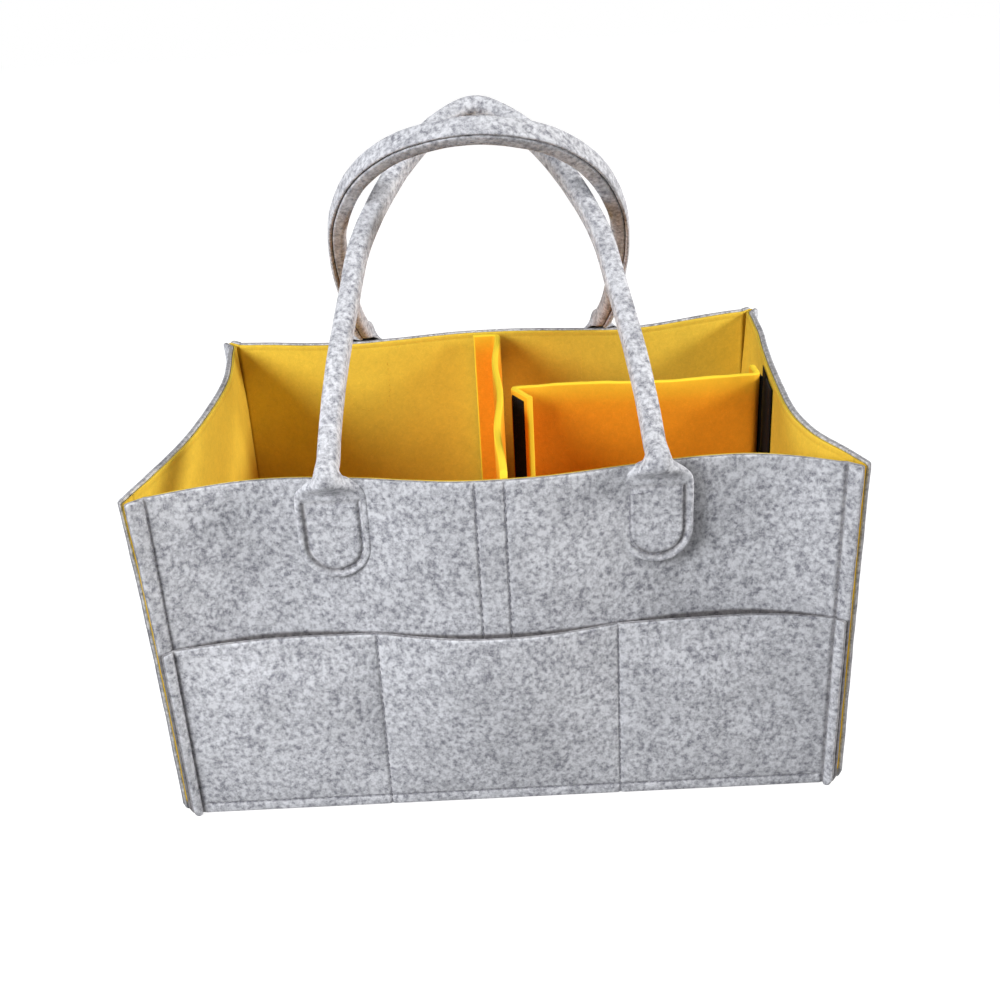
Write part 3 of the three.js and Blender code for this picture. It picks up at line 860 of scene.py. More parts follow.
@made_once("node_groups")
def painted_shade_group(name):
    """A colour darkened by painted shade where the mesh's share says so: stitched grooves, seam pinches, cut
    edges, pocket mouths, patch edges and the handles' inner face.
    """
    group, given, out = new_group(
        name,
        [("Colour", "NodeSocketColor", WHITE), ("Depth", "NodeSocketFloat", 0.4)],
        [("Colour", "NodeSocketColor")])
    share = maths(group, "MULTIPLY", painted_shading_mask(group), given.outputs["Depth"])
    dark = mixed(group, 1.0, given.outputs["Colour"], (0.27, 0.25, 0.24, 1), "MULTIPLY")
    group.links.new(mixed(group, share, given.outputs["Colour"], dark), out.inputs["Colour"])
    return group


def felt_fibres(tree, fineness):
    """The outputs of the fibres group, placed in a material."""
    group = felt_fibres_group("Felt Fibres")
    return add_node(tree, "ShaderNodeGroup", {"Fineness": fineness}, node_tree=group).outputs


def with_painted_shade(tree, colour, depth):
    """A felt's colour, darkened by painted shade from the shade group."""
    group = painted_shade_group("Seam Shade")
    node = add_node(tree, "ShaderNodeGroup", {"Colour": colour, "Depth": depth}, node_tree=group)
    return node.outputs["Colour"]


def blank_material(name, roughness, sheen=0.0, sheen_tint=WHITE):
    """A material with one Principled BSDF, its node tree and that shader."""
    material = bpy.data.materials.new(name)
    material.use_nodes = True
    shader = material.node_tree.nodes["Principled BSDF"]
    shader.inputs["Roughness"].default_value = roughness
    shader.inputs["Specular IOR Level"].default_value = 0.15
    shader.inputs["Sheen Weight"].default_value = sheen
    shader.inputs["Sheen Roughness"].default_value = 0.6
    shader.inputs["Sheen Tint"].default_value = sheen_tint
    return material, material.node_tree, shader


def dress(tree, shader, colour, height, strength, distance):
    """Gives a shader its colour, and the bumps that a height makes."""
    bump = add_node(tree, "ShaderNodeBump", {"Strength": strength, "Distance": distance, "Height": height})
    tree.links.new(colour, shader.inputs["Base Color"])
    tree.links.new(bump.outputs[0], shader.inputs["Normal"])


def four(colour, share=1.0, lift=0.0, most=1.0):
    """A colour with its alpha, made lighter or darker by a share and a lift."""
    return (*(min(share * c + lift, most) for c in colour), 1.0)


@made_once("materials")
def heather_felt(name, light, dark, lift):
    """Pressed felt of mixed light and dark grey fibres."""
    material, tree, shader = blank_material(name, 0.95, 0.12)
    fibres = felt_fibres(tree, 1.0)
    patches = ranged(tree, fibres["Mottle"], 0.34, 0.66, 0.1, -0.1)
    flecks = ranged(tree, maths(tree, "ADD", fibres["Fleck"], patches), 0.36, 0.7, 0.0, 0.85)
    body = mixed(tree, flecks, four(light), four(dark))
    strands = ranged(tree, fibres["Strand"], 0.58, 0.78, 0.0, 0.6)
    body = mixed(tree, strands, body, four(light, 1.25, most=0.9))
    body = toned(tree, body, ranged(tree, fibres["Cloud"], 0.3, 0.7, 0.88 + lift, 1.08 + lift))
    dress(tree, shader, with_painted_shade(tree, body, 0.75), fibres["Height"], strength=0.55, distance=0.0007)
    return material


@made_once("materials")
def dyed_felt(name, colour, cut=None):
    """Smooth felt of one dyed colour, with fibres that catch the light a little.

    cut is the colour of a painted highlight, mixed in where the mesh's share says, in place of painted
    shade.
    """
    material, tree, shader = blank_material(name, 0.9, 0.1, four(colour))
    fibres = felt_fibres(tree, 1.25)
    tone = ranged(tree, fibres["Height"], 0.45, 0.85)
    body = mixed(tree, tone, four(colour, 0.9), four(colour, 1.1))
    strands = ranged(tree, fibres["Strand"], 0.62, 0.76, 0.0, 0.3)
    body = mixed(tree, strands, body, four(colour, 1.25, 0.03))
    body = toned(tree, body, ranged(tree, fibres["Cloud"], 0.3, 0.7, 0.94, 1.04))
    # Painted shade from the mesh's share, or else a painted highlight in the cut colour.
    if cut is None:
        body = with_painted_shade(tree, body, 0.7)
    else:
        body = mixed(tree, painted_shading_mask(tree), body, four(cut))
    dress(tree, shader, body, fibres["Height"], strength=0.4, distance=0.0005)
    return material


@made_once("materials")
def hook_tape(name, colour):
    """Woven tape set with rows of fine stiff hooks, with painted highlights on their tops."""
    material, tree, shader = blank_material(name, 0.75)
    hooks = add_node(tree, "ShaderNodeTexVoronoi", {
        "Vector": object_place(tree), "Scale": 900.0, "Randomness": 0.35})
    # Painted highlight: the hooks' tops are lighter than the tape.
    heights = ranged(tree, hooks.outputs["Distance"], 0.1, 0.6, 1.0, 0.0)
    body = mixed(tree, heights, four(colour), four(colour, 2, 0.003))
    dress(tree, shader, body, heights, strength=0.8, distance=0.0005)
    return material


@made_once("materials")
def sewing_thread(name, colour):
    """Twisted sewing thread."""
    material, tree, shader = blank_material(name, 0.6)
    twist = add_node(tree, "ShaderNodeTexWave", {
        "Vector": object_place(tree), "Scale": 900.0, "Distortion": 1.5, "Detail": 1.0},
        bands_direction="DIAGONAL").outputs["Fac"]
    body = mixed(tree, twist, four(colour, 0.7), four(colour, 1.3))
    dress(tree, shader, body, twist, strength=0.5, distance=0.0002)
    return material


def grey_felt():
    return heather_felt("Grey Felt", colours().grey_light, colours().grey_dark, 0.0)


def handle_felt():
    return heather_felt("Handle Felt", colours().grey_light, colours().grey_dark, 0.03)


def lining_felt():
    return dyed_felt("Lining Felt", colours().lining)


def divider_felt():
    return dyed_felt("Divider Felt", colours().divider, colours().divider_painted_highlight)


def black_tape():
    return hook_tape("Hook Tape", colours().tape)


def stitches(points, normals):
    """Stitches along a line of points, as mesh points and faces. Each dips into the felt at its ends."""
    length, gap, radius = size_of("stitch_length"), size_of("stitch_gap"), size_of("thread_radius")
    points, normals = np.asarray(points, float), unit(np.asarray(normals, float))
    far = distances(points)
    count = max(int((far[-1] - gap) / (length + gap)), 1)
    pitch = far[-1] / count
    rise = np.array(STITCH_RISE_SHARES) * radius
    girth = np.array(STITCH_GIRTH_SHARES) * radius
    rings, sides = len(rise), THREAD_SIDES
    turns = 2 * math.pi * np.arange(sides) / sides
    vertices, faces = [], []
    for i in range(count):
        at = i * pitch + (pitch - length) / 2 + length * np.linspace(0, 1, rings)
        middle = np.column_stack([np.interp(at, far, points[:, axis]) for axis in (X, Y, Z)])
        normal = unit(np.column_stack([np.interp(at, far, normals[:, axis]) for axis in (X, Y, Z)]))
        across = unit(np.cross(normal, unit(middle[-1] - middle[0])))
        first = len(vertices) * sides
        for ring in range(rings):
            circle = np.cos(turns)[:, None] * across[ring] + np.sin(turns)[:, None] * normal[ring]
            vertices.append(middle[ring] + rise[ring] * normal[ring] + circle * girth[ring])
        for ring in range(rings - 1):
            for side in range(sides):
                a = first + ring * sides + side
                b = first + ring * sides + (side + 1) % sides
                faces.append((a, b, b + sides, a + sides))
        faces.append(tuple(first + side for side in reversed(range(sides))))
        faces.append(tuple(first + (rings - 1) * sides + side for side in range(sides)))
    return np.concatenate(vertices), faces


def thread_piece(name, runs, material):
    """One piece of stitching from several runs of points and normals."""
    vertices, faces, first = [], [], 0
    for points, normals in runs:
        run_points, run_faces = stitches(points, normals)
        vertices.append(run_points)
        faces += [tuple(first + i for i in face) for face in run_faces]
        first += len(run_points)
    return mesh_piece(name, np.concatenate(vertices), faces, material)


def fin_trim(z, seed, low, high):
    """How much shorter a seam's plies are cut at each height: round at the foot and top, and uneven."""
    trim = EDGE_WOBBLE * (1 + wander(z, seed, FIN_WOBBLE_LENGTH)) / 2 - FIN_LONGER
    for from_end, radius in ((z - low, SEAM_FOOT_RADIUS), (high - z, SEAM_TOP_RADIUS)):
        trim = trim + radius * edge_ease(from_end, radius)
    return trim


def wall_ply(name, wall, lines, low, high, material, slot, seed, level_stitches=(), upright_stitches=(),
             upright_foot=None, gape=None, on_inside=False, mouth=None):
    """One ply of a wall with its fins. Stitch lines pull a groove into its outer, or its inner, face.

    upright_foot is the height at which upright stitches start, and mouth is the height of a pocket's
    mouth, under which shade is painted on the felt.
    """
    inner_line, outer_line = lines
    start, length = outer_line[1][0], outer_line[-2][0] - outer_line[1][0]
    reach = np.linalg.norm(outer_line[0] - outer_line[1])
    fins = grid_lines(0, reach, FIN_STEP, (reach - SEAM_STITCH_FROM_BEND,), plain_end=True) / reach
    fins = fins[fins < 1 - NEAR]
    bends = (start + SEAM_BEND_RADIUS, start + length - SEAM_BEND_RADIUS)
    places = grid_lines(start, start + length, ALONG_STEP, (*bends, *upright_stitches), True, True)
    shares = (places[(places >= start) & (places <= start + length)] - start) / length
    levels = grid_lines(low, high, UP_STEP, level_stitches)
    if mouth:
        levels = np.array(sorted({*levels, mouth + MOUTH_SHADE_FROM, mouth + MOUTH_SHADE_TO}))
    trim = fin_trim(levels, seed, low, high) + (SEAM_LINING_SHORT if on_inside else 0)
    inner, _ = wall.row_points(inner_line, fins, shares, levels, gape, trim)
    outer, past = wall.row_points(outer_line, fins, shares, levels, gape, trim)
    between = slice(len(fins), -len(fins))
    edge_columns = np.full(past.shape[1], FAR_FROM_CUTS)
    edge_columns[:len(fins)] = fins * reach
    edge_columns[-len(fins):] = (fins * reach)[::-1]
    depth = np.zeros(past.shape)
    for level in level_stitches:
        depth = np.maximum(depth, bell(levels - level, GROOVE_WIDTH)[:, None] * (past < 0))
    for upright in upright_stitches:
        line = bell(start + shares * length - upright, GROOVE_WIDTH)[None, :]
        above_foot = levels - (upright_foot or low - 2 * UPRIGHT_FADE)
        held = line * smooth_step(-UPRIGHT_FADE, UPRIGHT_FADE, above_foot)[:, None]
        depth[:, between] = np.maximum(depth[:, between], held)
    if on_inside:
        depth = RIM_STITCH_SHARE * depth
        inner = inner + (depth * size_of("groove_depth"))[..., None] * wall.outward
    else:
        outer = outer - (depth * size_of("groove_depth"))[..., None] * wall.outward
    uneven = EDGE_WOBBLE * TOP_WOBBLE_SHARE * wander(np.arange(past.shape[1]), seed + 3, TOP_WOBBLE_COLUMNS)
    inner[-1, :, Z] += uneven
    outer[-1, :, Z] += uneven
    # Painted shade in the stitched grooves, and where a corner seam pinches the felt.
    pinch = bell(past - SEAM_STITCH_FROM_BEND, SEAM_DIP_WIDTH)
    seam = np.maximum(STITCH_SHADE * depth, (LINING_PINCH_SHADE if on_inside else 1) * pinch)
    # Painted shade on the felt below a pocket's mouth.
    if mouth:
        lit = smooth_step(mouth + MOUTH_SHADE_FROM, mouth + MOUTH_SHADE_TO, levels)
        seam = np.maximum(seam, MOUTH_SHADE * (1 - lit)[:, None])
    return felt_sheet(name, inner, outer, from_cuts(levels), edge_columns, material, slot, seam,
                      column_shade=LINING_CUT_SHADE if on_inside else SEAM_CUT_SHADE)


def seam_run(wall, line, side, low, high, gape=None):
    """A corner seam's stitching on a ply's outer face, up one fin."""
    z = np.arange(low + SEAM_STITCH_END, high - SEAM_STITCH_END, RUN_STEP)
    reach = np.linalg.norm(line[0] - line[1])
    fins = np.array([0, 1 - SEAM_STITCH_FROM_BEND / reach])
    run = OPEN_CORNER_RUN / (line[-2][0] - line[1][0])
    points, _ = wall.row_points(line, fins, np.array([run, 1 - run]), z, gape)
    left_column, right_column = 1, 4
    way = unit(line[0] - line[1])
    turned = np.zeros(3)
    turned[wall.along] = -side * abs(way[1])
    turned[wall.out] = wall.way * abs(way[0])
    return points[:, left_column if side < 0 else right_column], np.tile(turned, (len(z), 1))


def level_run(wall, line, z, lift, facing=1, gape=None, short=LEVEL_STITCH_SHORT):
    """Level stitching along a ply, from bend to bend less a short end."""
    u = np.arange(line[1][0] + short, line[-2][0] - short, RUN_STEP)
    points = wall.on_ply(line, u, np.full(len(u), float(z)), lift, gape)
    return points, np.tile(facing * wall.outward, (len(u), 1))


def upright_run(wall, line, u, low, high, lift, gape=None):
    """Upright stitching on a ply's outer face."""
    z = np.arange(low, high, RUN_STEP)
    points = wall.on_ply(line, np.full(len(z), float(u)), z, lift, gape)
    return points, np.tile(wall.outward, (len(z), 1))


def patch_middles(side):
    """Where a handle's two patches lie along their wall."""
    middle = joint_point(f"{side}_handle_fold")[X]
    half_span = HANDLES[side]["half_span"]
    return middle - half_span, middle + half_span


def patch_outline(middle, closed=True):
    """A patch's line of stitching from the left top round to the right: places along the wall, heights.

    A closed one runs back across the top.
    """
    half = PATCH_WIDTH / 2 - PATCH_MARGIN
    low = HEIGHT - PATCH_DROP + PATCH_WIDTH / 2
    top = HEIGHT - SEWN_DROP
    turn = np.linspace(math.pi, 2 * math.pi, PATCH_TURN_POINTS)
    sides = np.linspace(top, low, PATCH_SIDE_POINTS)[:-1]
    across = np.linspace(middle + half, middle - half, PATCH_ACROSS_POINTS)[1:] if closed else []
    u = np.concatenate([np.full(len(sides), middle - half), middle + half * np.cos(turn),
                        np.full(len(sides), middle + half), across])
    z = np.concatenate([sides, low + half * np.sin(turn), sides[::-1], np.full(len(across), top)])
    return u, z


def make_panels():
    """The four walls' outer felt."""
    for i, wall in enumerate(walls().values()):
        if wall.name in gapes():
            stitching = {"upright_stitches": DOUBLE_STITCH_PLACES, "mouth": POCKET_HEIGHT,
                         "upright_foot": POCKET_HEIGHT - POCKET_TUCK}
        else:
            stitching = {"level_stitches": (FOOT_STITCH_HEIGHT,)}
        panel = wall_ply(f"{wall.name}_felt", wall, wall.panel, 0, HEIGHT, grey_felt(), "grey_felt", i + 1,
                         **stitching)
        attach(panel, "caddy")
        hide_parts(f"{wall.name}_panel")


def make_linings():
    """The four walls' lining."""
    for i, wall in enumerate(walls().values()):
        lining = wall_ply(f"{wall.name}_lining_felt", wall, wall.lining, LINING_FOOT,
                          HEIGHT - LINING_TOP_DROP, lining_felt(), "lining_felt", i + 11,
                          (HEIGHT - RIM_STITCH_DROP,), on_inside=True)
        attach(lining, "caddy")
        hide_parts(f"{wall.name}_lining")


def make_pockets():
    """The front and back pocket strips."""
    for i, (side, gape) in enumerate(gapes().items()):
        strip = wall_ply(f"{side}_pocket_felt", walls()[side], gape.lines, 0, POCKET_HEIGHT, grey_felt(),
                         "grey_felt", i + 21, (FOOT_STITCH_HEIGHT,), tuple(gape.seams[1:-1]), gape=gape)
        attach(strip, "caddy")
        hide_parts(f"{side}_pocket_strip")


def make_base():
    """The base felt and its lining."""
    for node, material, slot in (("base_panel", grey_felt(), "grey_felt"),
                                 ("base_lining", lining_felt(), "lining_felt")):
        low, high = node_box(node)
        xs = grid_lines(low[X], high[X], BASE_STEP)
        ys = grid_lines(low[Y], high[Y], BASE_STEP)
        x, y = np.meshgrid(xs, ys)
        calm = (1 - np.abs(x / high[X]) ** 4) * (1 - np.abs(y / high[Y]) ** 4)
        wave = BASE_WAVE * calm * (1 + np.sin(x / BASE_WAVE_LENGTHS[X]) * np.cos(y / BASE_WAVE_LENGTHS[Y]))
        under = np.stack([x, y, np.full_like(x, low[Z])], axis=-1)
        top = np.stack([x, y, np.full_like(x, high[Z]) - wave], axis=-1)
        piece = felt_sheet(f"{node}_felt", under, top, from_cuts(ys), from_cuts(xs), material, slot)
        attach(piece, "caddy")
        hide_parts(node)


def catmull_rom(points):
    """A smooth line through points, as three.js's centripetal one runs."""
    points = np.asarray(points, float)
    points = np.vstack([2 * points[0] - points[1], points, 2 * points[-1] - points[-2]])
    t = np.linspace(0, 1, SPAN_POINTS, endpoint=False)[:, None]
    line = []
    for p0, p1, p2, p3 in zip(points, points[1:], points[2:], points[3:]):
        d1, d2, d3 = (max(np.linalg.norm(b - a) ** 0.5, TINY) for a, b in ((p0, p1), (p1, p2), (p2, p3)))
        m1 = ((p1 - p0) / d1 - (p2 - p0) / (d1 + d2) + (p2 - p1) / d2) * d2
        m2 = ((p2 - p1) / d2 - (p3 - p1) / (d2 + d3) + (p3 - p2) / d3) * d2
        line.append(hermite(t, p1, m1, p2, m2))
    return np.vstack(line + [points[-2:-1]])


def smoothed(values, reach):
    """Values eased along their first axis by a rounded window of reach steps."""
    window = np.hanning(reach + 2)[1:-1]
    window = window / window.sum()
    pad = reach // 2
    before, after = np.repeat(values[:1], pad, axis=0), np.repeat(values[-1:], pad, axis=0)
    padded = np.concatenate([before, values, after])
    return np.column_stack([np.convolve(padded[:, i], window, "valid") for i in range(values.shape[1])])


def handle_frame(side):
    """A handle's neck, the direction in which its arch leans up, and the one that its faces look in."""
    neck = joint_point(f"{side}_handle_fold")
    lean = math.radians(HANDLES[side]["lean"])
    outward = walls()[side].outward
    leaning = -outward * math.sin(lean) + UP * math.cos(lean)
    facing = outward * math.cos(lean) + UP * math.sin(lean)
    return neck, leaning, facing


def handle_line(side):
    """A handle strip from one patch's foot over the arch to the other's.

    Returns its middle line, its faces' outward direction, and each point's height above the neck along
    the strip, negative on the patches.
    """
    wall, handle = walls()[side], HANDLES[side]
    neck, leaning, facing = handle_frame(side)
    rising = [(-across * handle["half_span"], up * handle["rise"]) for across, up in handle["arch_shares"]]
    falling = [(-across, up) for across, up in rising[-2::-1]]
    flat = resampled(catmull_rom(rising + falling), LINE_STEP)
    sway = handle["sway"] * (1 - (1 - np.clip(flat[:, 1] / handle["rise"], 0, 1)) ** 3)
    arch = (neck[None, :] + (flat[:, 0] + sway)[:, None] * np.array([1.0, 0, 0])
            + flat[:, 1][:, None] * leaning)
    foot = HEIGHT - PATCH_DROP
    patch_z = np.concatenate([foot + np.array(PATCH_FOOT_ROWS),
                              np.arange(foot + PATCH_ROWS_FROM, neck[Z] - PATCH_ROWS_SHORT, PATCH_ROW_STEP)])
    middle_w = wall.panel[1][1, 1] + PATCH_GAP + FELT / 2
    patches = []
    for middle in patch_middles(side):
        u = np.full(len(patch_z), middle)
        w = middle_w - wall.drawn_in(u, np.minimum(patch_z, HEIGHT))
        reach = wall.way * neck[wall.out]
        w = w + (reach - w[-1]) * smooth_step(HEIGHT - NECK_RISE_DROP, neck[Z], patch_z)
        patches.append(wall.place(u, w, patch_z))
    patch_normals = np.tile(wall.outward, (len(patch_z), 1))
    points = np.vstack([patches[0], arch, patches[1][::-1]])
    normals = np.vstack([patch_normals, np.tile(facing, (len(arch), 1)), patch_normals])
    far = distances(arch)
    above = np.concatenate([patch_z - neck[Z], np.minimum(far, far[-1] - far), (patch_z - neck[Z])[::-1]])
    near = (1 - smooth_step(NECK_SMOOTH_FROM, NECK_SMOOTH_TO, np.abs(above)))[:, None]
    points = points + (smoothed(points, NECK_SMOOTHING) - points) * near
    normals = unit(normals + (smoothed(normals, NECK_SMOOTHING) - normals) * near)
    return points, normals, above


def strip_section(width, curl, places, thickness, proud):
    """A strip's cross-section, curled back by an angle in all: its outer and inner points.

    proud is how far each place stands out of the curl.
    """
    s = width * places
    turn = curl * places
    safe = np.where(np.abs(turn) < LEAST_TURN, LEAST_TURN, turn)
    across = s * np.sin(safe) / safe
    deep = -s * (1 - np.cos(safe)) / safe
    deep = deep - deep.mean()
    normal = np.column_stack([np.sin(turn), np.cos(turn)])
    middle = np.column_stack([across, deep]) + normal * proud[:, None]
    return middle + normal * thickness[:, None] / 2, middle - normal * thickness[:, None] / 2


def squared_roll(section, turn, curled):
    """A rolled section turned by an angle, then pressed from a circle towards a rounded rectangle."""
    across = math.cos(turn) * section[:, 0] - math.sin(turn) * section[:, 1]
    deep = math.sin(turn) * section[:, 0] + math.cos(turn) * section[:, 1]
    angle = np.arctan2(deep, across)
    square = np.abs(np.cos(angle)) ** ROLL_SQUARE + np.abs(np.sin(angle)) ** ROLL_SQUARE
    pressed = 1 + (square ** (-1 / ROLL_SQUARE) - 1) * curled
    wide = 1 + (ROLL_WIDTH / ROLL_MEAN - 1) * curled
    thick = 1 + (ROLL_DEPTH / ROLL_MEAN - 1) * curled
    return np.column_stack([across * pressed * wide, deep * pressed * thick])


def handle_section(above, up_from_foot, curled):
    """A handle strip's section at a height above its neck: its outer and inner points, and its painted
    shade.
    """
    edge, radius = size_of("edge_round"), PATCH_WIDTH / 2
    at_foot = up_from_foot < radius
    width = PATCH_WIDTH + (ROLL_STRIP_WIDTH - PATCH_WIDTH) * smooth_step(SHOULDER_FROM, SHOULDER_TO, above)
    if at_foot:
        width = 2 * math.sqrt(max(radius ** 2 - (radius - up_from_foot) ** 2, 0))
    spread = EDGED_SHARES + (EVEN_SHARES - EDGED_SHARES) * smooth_step(NECK_EVEN_FROM, NECK_EVEN_TO, above)
    border = width * (0.5 - np.abs(spread))
    if at_foot:
        border = radius - np.hypot(width * spread, radius - up_from_foot)
    rounding = PATCH_EDGE_ROUND + (edge - PATCH_EDGE_ROUND) * curled
    round_off = rounding / (FELT / 2) * edge_ease(border, rounding)
    ridge = ROLL_RIDGE * curled * bell(border, ROLL_RIDGE_WIDTH) * (spread > 0)
    curl = 2 * math.pi * ROLL_CLOSED_SHARE * curled
    outer, inner = strip_section(width, curl, spread, FELT * (1 - round_off), ridge)
    fading = smooth_step(-SEWN_DROP - GROOVE_FADE_BELOW, -SEWN_DROP + GROOVE_FADE_ABOVE, above)
    pulled = bell(border - PATCH_MARGIN, PATCH_GROOVE_WIDTH) * (1 - fading)
    across_top = bell(above + SEWN_DROP, PATCH_GROOVE_WIDTH)
    across_top = across_top * smooth_step(PATCH_MARGIN - GROOVE_FADE_BELOW, PATCH_MARGIN, border)
    pulled = np.maximum(pulled, PATCH_TOP_GROOVE_SHARE * across_top)
    # The flat felt gathers in soft creases as it is rolled.
    creases = np.cos(math.pi * (spread * GATHER_CREASES + GATHER_SHIFT)) * bell(spread, GATHER_WIDTH_SHARE)
    outer[:, 1] -= PATCH_GROOVE_DEPTH * pulled
    outer[:, 1] += GATHER * bell(above - GATHER_PLACE, GATHER_HEIGHT) * creases
    # Painted shade in the patch's stitched groove and along its cut edge.
    return outer, inner, np.maximum(pulled, PATCH_EDGE_SHADE * (border < NEAR) * (1 - curled))


def tube_faces(rows, total):
    """Faces of a tube of rows, with a flat face at each end."""
    faces = []
    for row in range(rows - 1):
        for column in range(total):
            here, after = row * total + column, row * total + (column + 1) % total
            faces.append((here, after, after + total, here + total))
    faces.append(tuple(range(total - 1, -1, -1)))
    faces.append(tuple((rows - 1) * total + i for i in range(total)))
    return faces


def bend_over_hinge(piece):
    """Bakes a piece's place into its mesh."""
    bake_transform(piece)


def make_handle(side):
    """A handle: one felt strip, sewn flat at both ends and rolled to a tube between them."""
    points, normals, above = handle_line(side)
    neck, leaning, _ = handle_frame(side)
    tangents = unit(np.gradient(points, axis=0))
    across = unit(np.cross(tangents, normals))
    normals = unit(np.cross(across, tangents))
    foot = HEIGHT - PATCH_DROP - neck[Z]
    far = distances(points)
    from_end = np.minimum(far, far[-1] - far)
    turn_to = far[-1] / 2 - ROLL_TURN_BEFORE_TOP
    turns = math.radians(HANDLES[side]["seam_turn"]) * smooth_step(ROLL_TURN_FROM, turn_to, from_end)
    lumps = ROLL_LUMP_SHARE * wander(far, HANDLES[side]["seed"], ROLL_LUMP_LENGTH)
    outer_rows, inner_rows, shades = [], [], []
    for i, height in enumerate(above):
        curled = smooth_step(NECK_CURL_FROM, NECK_CURL_TO, height)
        outer, inner, shade = handle_section(height, height - foot, curled)
        outer, inner = ((1 + lumps[i] * curled) * squared_roll(face, turns[i], curled)
                        for face in (outer, inner))
        # Where it starts to curl, the strip rests on the wall behind it.
        behind = max(-inner[:, 1].min() - FELT / 2, 0)
        proud = behind * (1 - smooth_step(NECK_PROUD_FROM, NECK_PROUD_TO, height))
        for face, rows in ((outer, outer_rows), (inner, inner_rows)):
            rows.append(points[i] + face[:, :1] * across[i] + (face[:, 1:] + proud) * normals[i])
        shades.append(shade)
    loop = np.concatenate([np.array(outer_rows), np.array(inner_rows)[:, ::-1]], axis=1)
    faces = tube_faces(*loop.shape[:2])
    middle = len(loop) // 2
    here, there = loop[middle], loop[middle + 1]
    if np.dot(np.cross(here[1] - here[0], there[0] - here[0]), here[0] - points[middle]) < 0:
        faces = turned_over(faces)
    # Painted shade over the strip's whole inner face.
    seam = np.concatenate([shades, np.full((len(loop), STRIP_COLUMNS), PATCH_EDGE_SHADE)], axis=1)
    strip = mesh_piece(f"{side}_handle_strip", loop.reshape(-1, 3), faces, handle_felt(),
                       seam)
    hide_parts(f"{side}_handle", f"{side}_left_patch", f"{side}_right_patch")
    bend_over_hinge(strip)


def rounded_plan(*corners):
    """A plan line through corners, each folded round, as points about a millimetre apart."""
    corners = [np.asarray(corner, float) for corner in corners]
    line = [corners[0]]
    for before, corner, after in zip(corners, corners[1:], corners[2:]):
        start = corner + unit(before - corner) * FOLD_RADIUS
        end = corner + unit(after - corner) * FOLD_RADIUS
        line += [(1 - t) ** 2 * start + 2 * t * (1 - t) * corner + t * t * end
                 for t in np.linspace(0, 1, FOLD_POINTS)]
    line.append(corners[-1])
    return resampled(np.array(line), PLAN_STEP)


def standing_felt(name, plan, low, high, thickness, material, slot, seed, sway=None, drop=None):
    """A felt sheet that stands on edge along a plan line.

    sway moves the plan sideways, by far and height, and drop lowers the sheet's top, by far.
    """
    levels = grid_lines(low, high, DIVIDER_UP_STEP)
    edge = size_of("edge_round")
    at = grid_lines(0, distances(plan)[-1], DIVIDER_ALONG_STEP)
    line = points_along(plan, at)
    way = unit(np.gradient(line, axis=0))
    side = np.column_stack([-way[:, 1], way[:, 0]])
    lowered = drop(at) / (high - low) if drop else 0
    uneven = DIVIDER_WOBBLE * wander(at, seed, DIVIDER_WOBBLE_LENGTH)
    grids = []
    for face in (-1, 1):
        rows = []
        for z in levels:
            shift = face * thickness / 2 + (sway(at, z) if sway else 0)
            height = np.full(len(at), z) - (z - low) * lowered + (uneven if z > high - edge else 0)
            rows.append(np.column_stack([line + side * np.reshape(shift, (-1, 1)), height]))
        grids.append(np.array(rows))
    # Painted light near the top, and painted highlight on the cut edges, in a material that takes a
    # highlight colour.
    painted_top_light = TOP_PAINTED_LIGHT_SHARE * (1 - smooth_step(0, TOP_PAINTED_LIGHT_REACH, high - levels))[:, None]
    return felt_sheet(name, *grids, from_cuts(levels), from_cuts(at), material, slot, painted_top_light,
                      row_shade=1.0, column_shade=1.0, cut_reach=DIVIDER_CUT_REACH_SHARE * edge)


def make_mid_divider():
    """The mid divider with its two flaps, one felt sheet that bends at its front fold."""
    low, high = node_box("mid_divider")
    fold = joint_point("mid_divider_swing")
    end = high[Y] - DIVIDER_FELT / 2
    flap = low[X]
    plan = rounded_plan((flap, fold[Y]), (fold[X], fold[Y]), (fold[X], end), (flap, end))
    reach = abs(fold[X] - flap)
    total = 2 * reach + end - fold[Y] - 4 * FOLD_RADIUS + 2 * FOLD_LENGTH_SHARE * FOLD_RADIUS

    def sway(far, z):
        share = np.clip((far - reach) / (total - 2 * reach), 0, 1)
        return MID_LEAN * np.sin(2 * math.pi * share) ** 2 * smooth_step(low[Z], high[Z], z)

    def drop(far):
        return MID_FLAP_DROP * (1 - smooth_step(reach - FOLD_RADIUS, reach + FOLD_RADIUS, far))

    piece = standing_felt("mid_divider_felt", plan, low[Z], high[Z], DIVIDER_FELT, divider_felt(),
                          "divider_felt", 5, sway, drop)
    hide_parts("mid_divider", "mid_divider_front_flap")
    bend_over_hinge(piece)


def make_cross_divider():
    """The cross divider with its open left flap and its right flap, one felt sheet."""
    low, high = node_box("cross_divider")
    fold = joint_point("cross_divider_swing")
    _, flap_high = node_box("cross_divider_right_flap")
    angle = math.radians(OPEN_ANGLE)
    way = np.array([math.sin(angle), -math.cos(angle)])
    corner = np.array([low[X] + DIVIDER_FELT / 2 * math.cos(angle) + CROSS_FLAP_GAP, fold[Y] - CROSS_WAVE])
    plan = rounded_plan(corner + way * OPEN_FLAP, corner, (fold[X], fold[Y]), (fold[X], flap_high[Y]))
    length = fold[X] - corner[0]

    def sway(far, z):
        share = np.clip((far - OPEN_FLAP) / length, 0, 1)
        height = CROSS_FOOT_SHARE + (1 - CROSS_FOOT_SHARE) * smooth_step(low[Z], high[Z], z)
        return CROSS_WAVE * (np.sin(2 * math.pi * CROSS_WAVES * share) - share) * height

    piece = standing_felt("cross_divider_felt", plan, low[Z], high[Z], DIVIDER_FELT, divider_felt(),
                          "divider_felt", 8, sway)
    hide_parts("cross_divider", "cross_divider_right_flap")
    bend_over_hinge(piece)


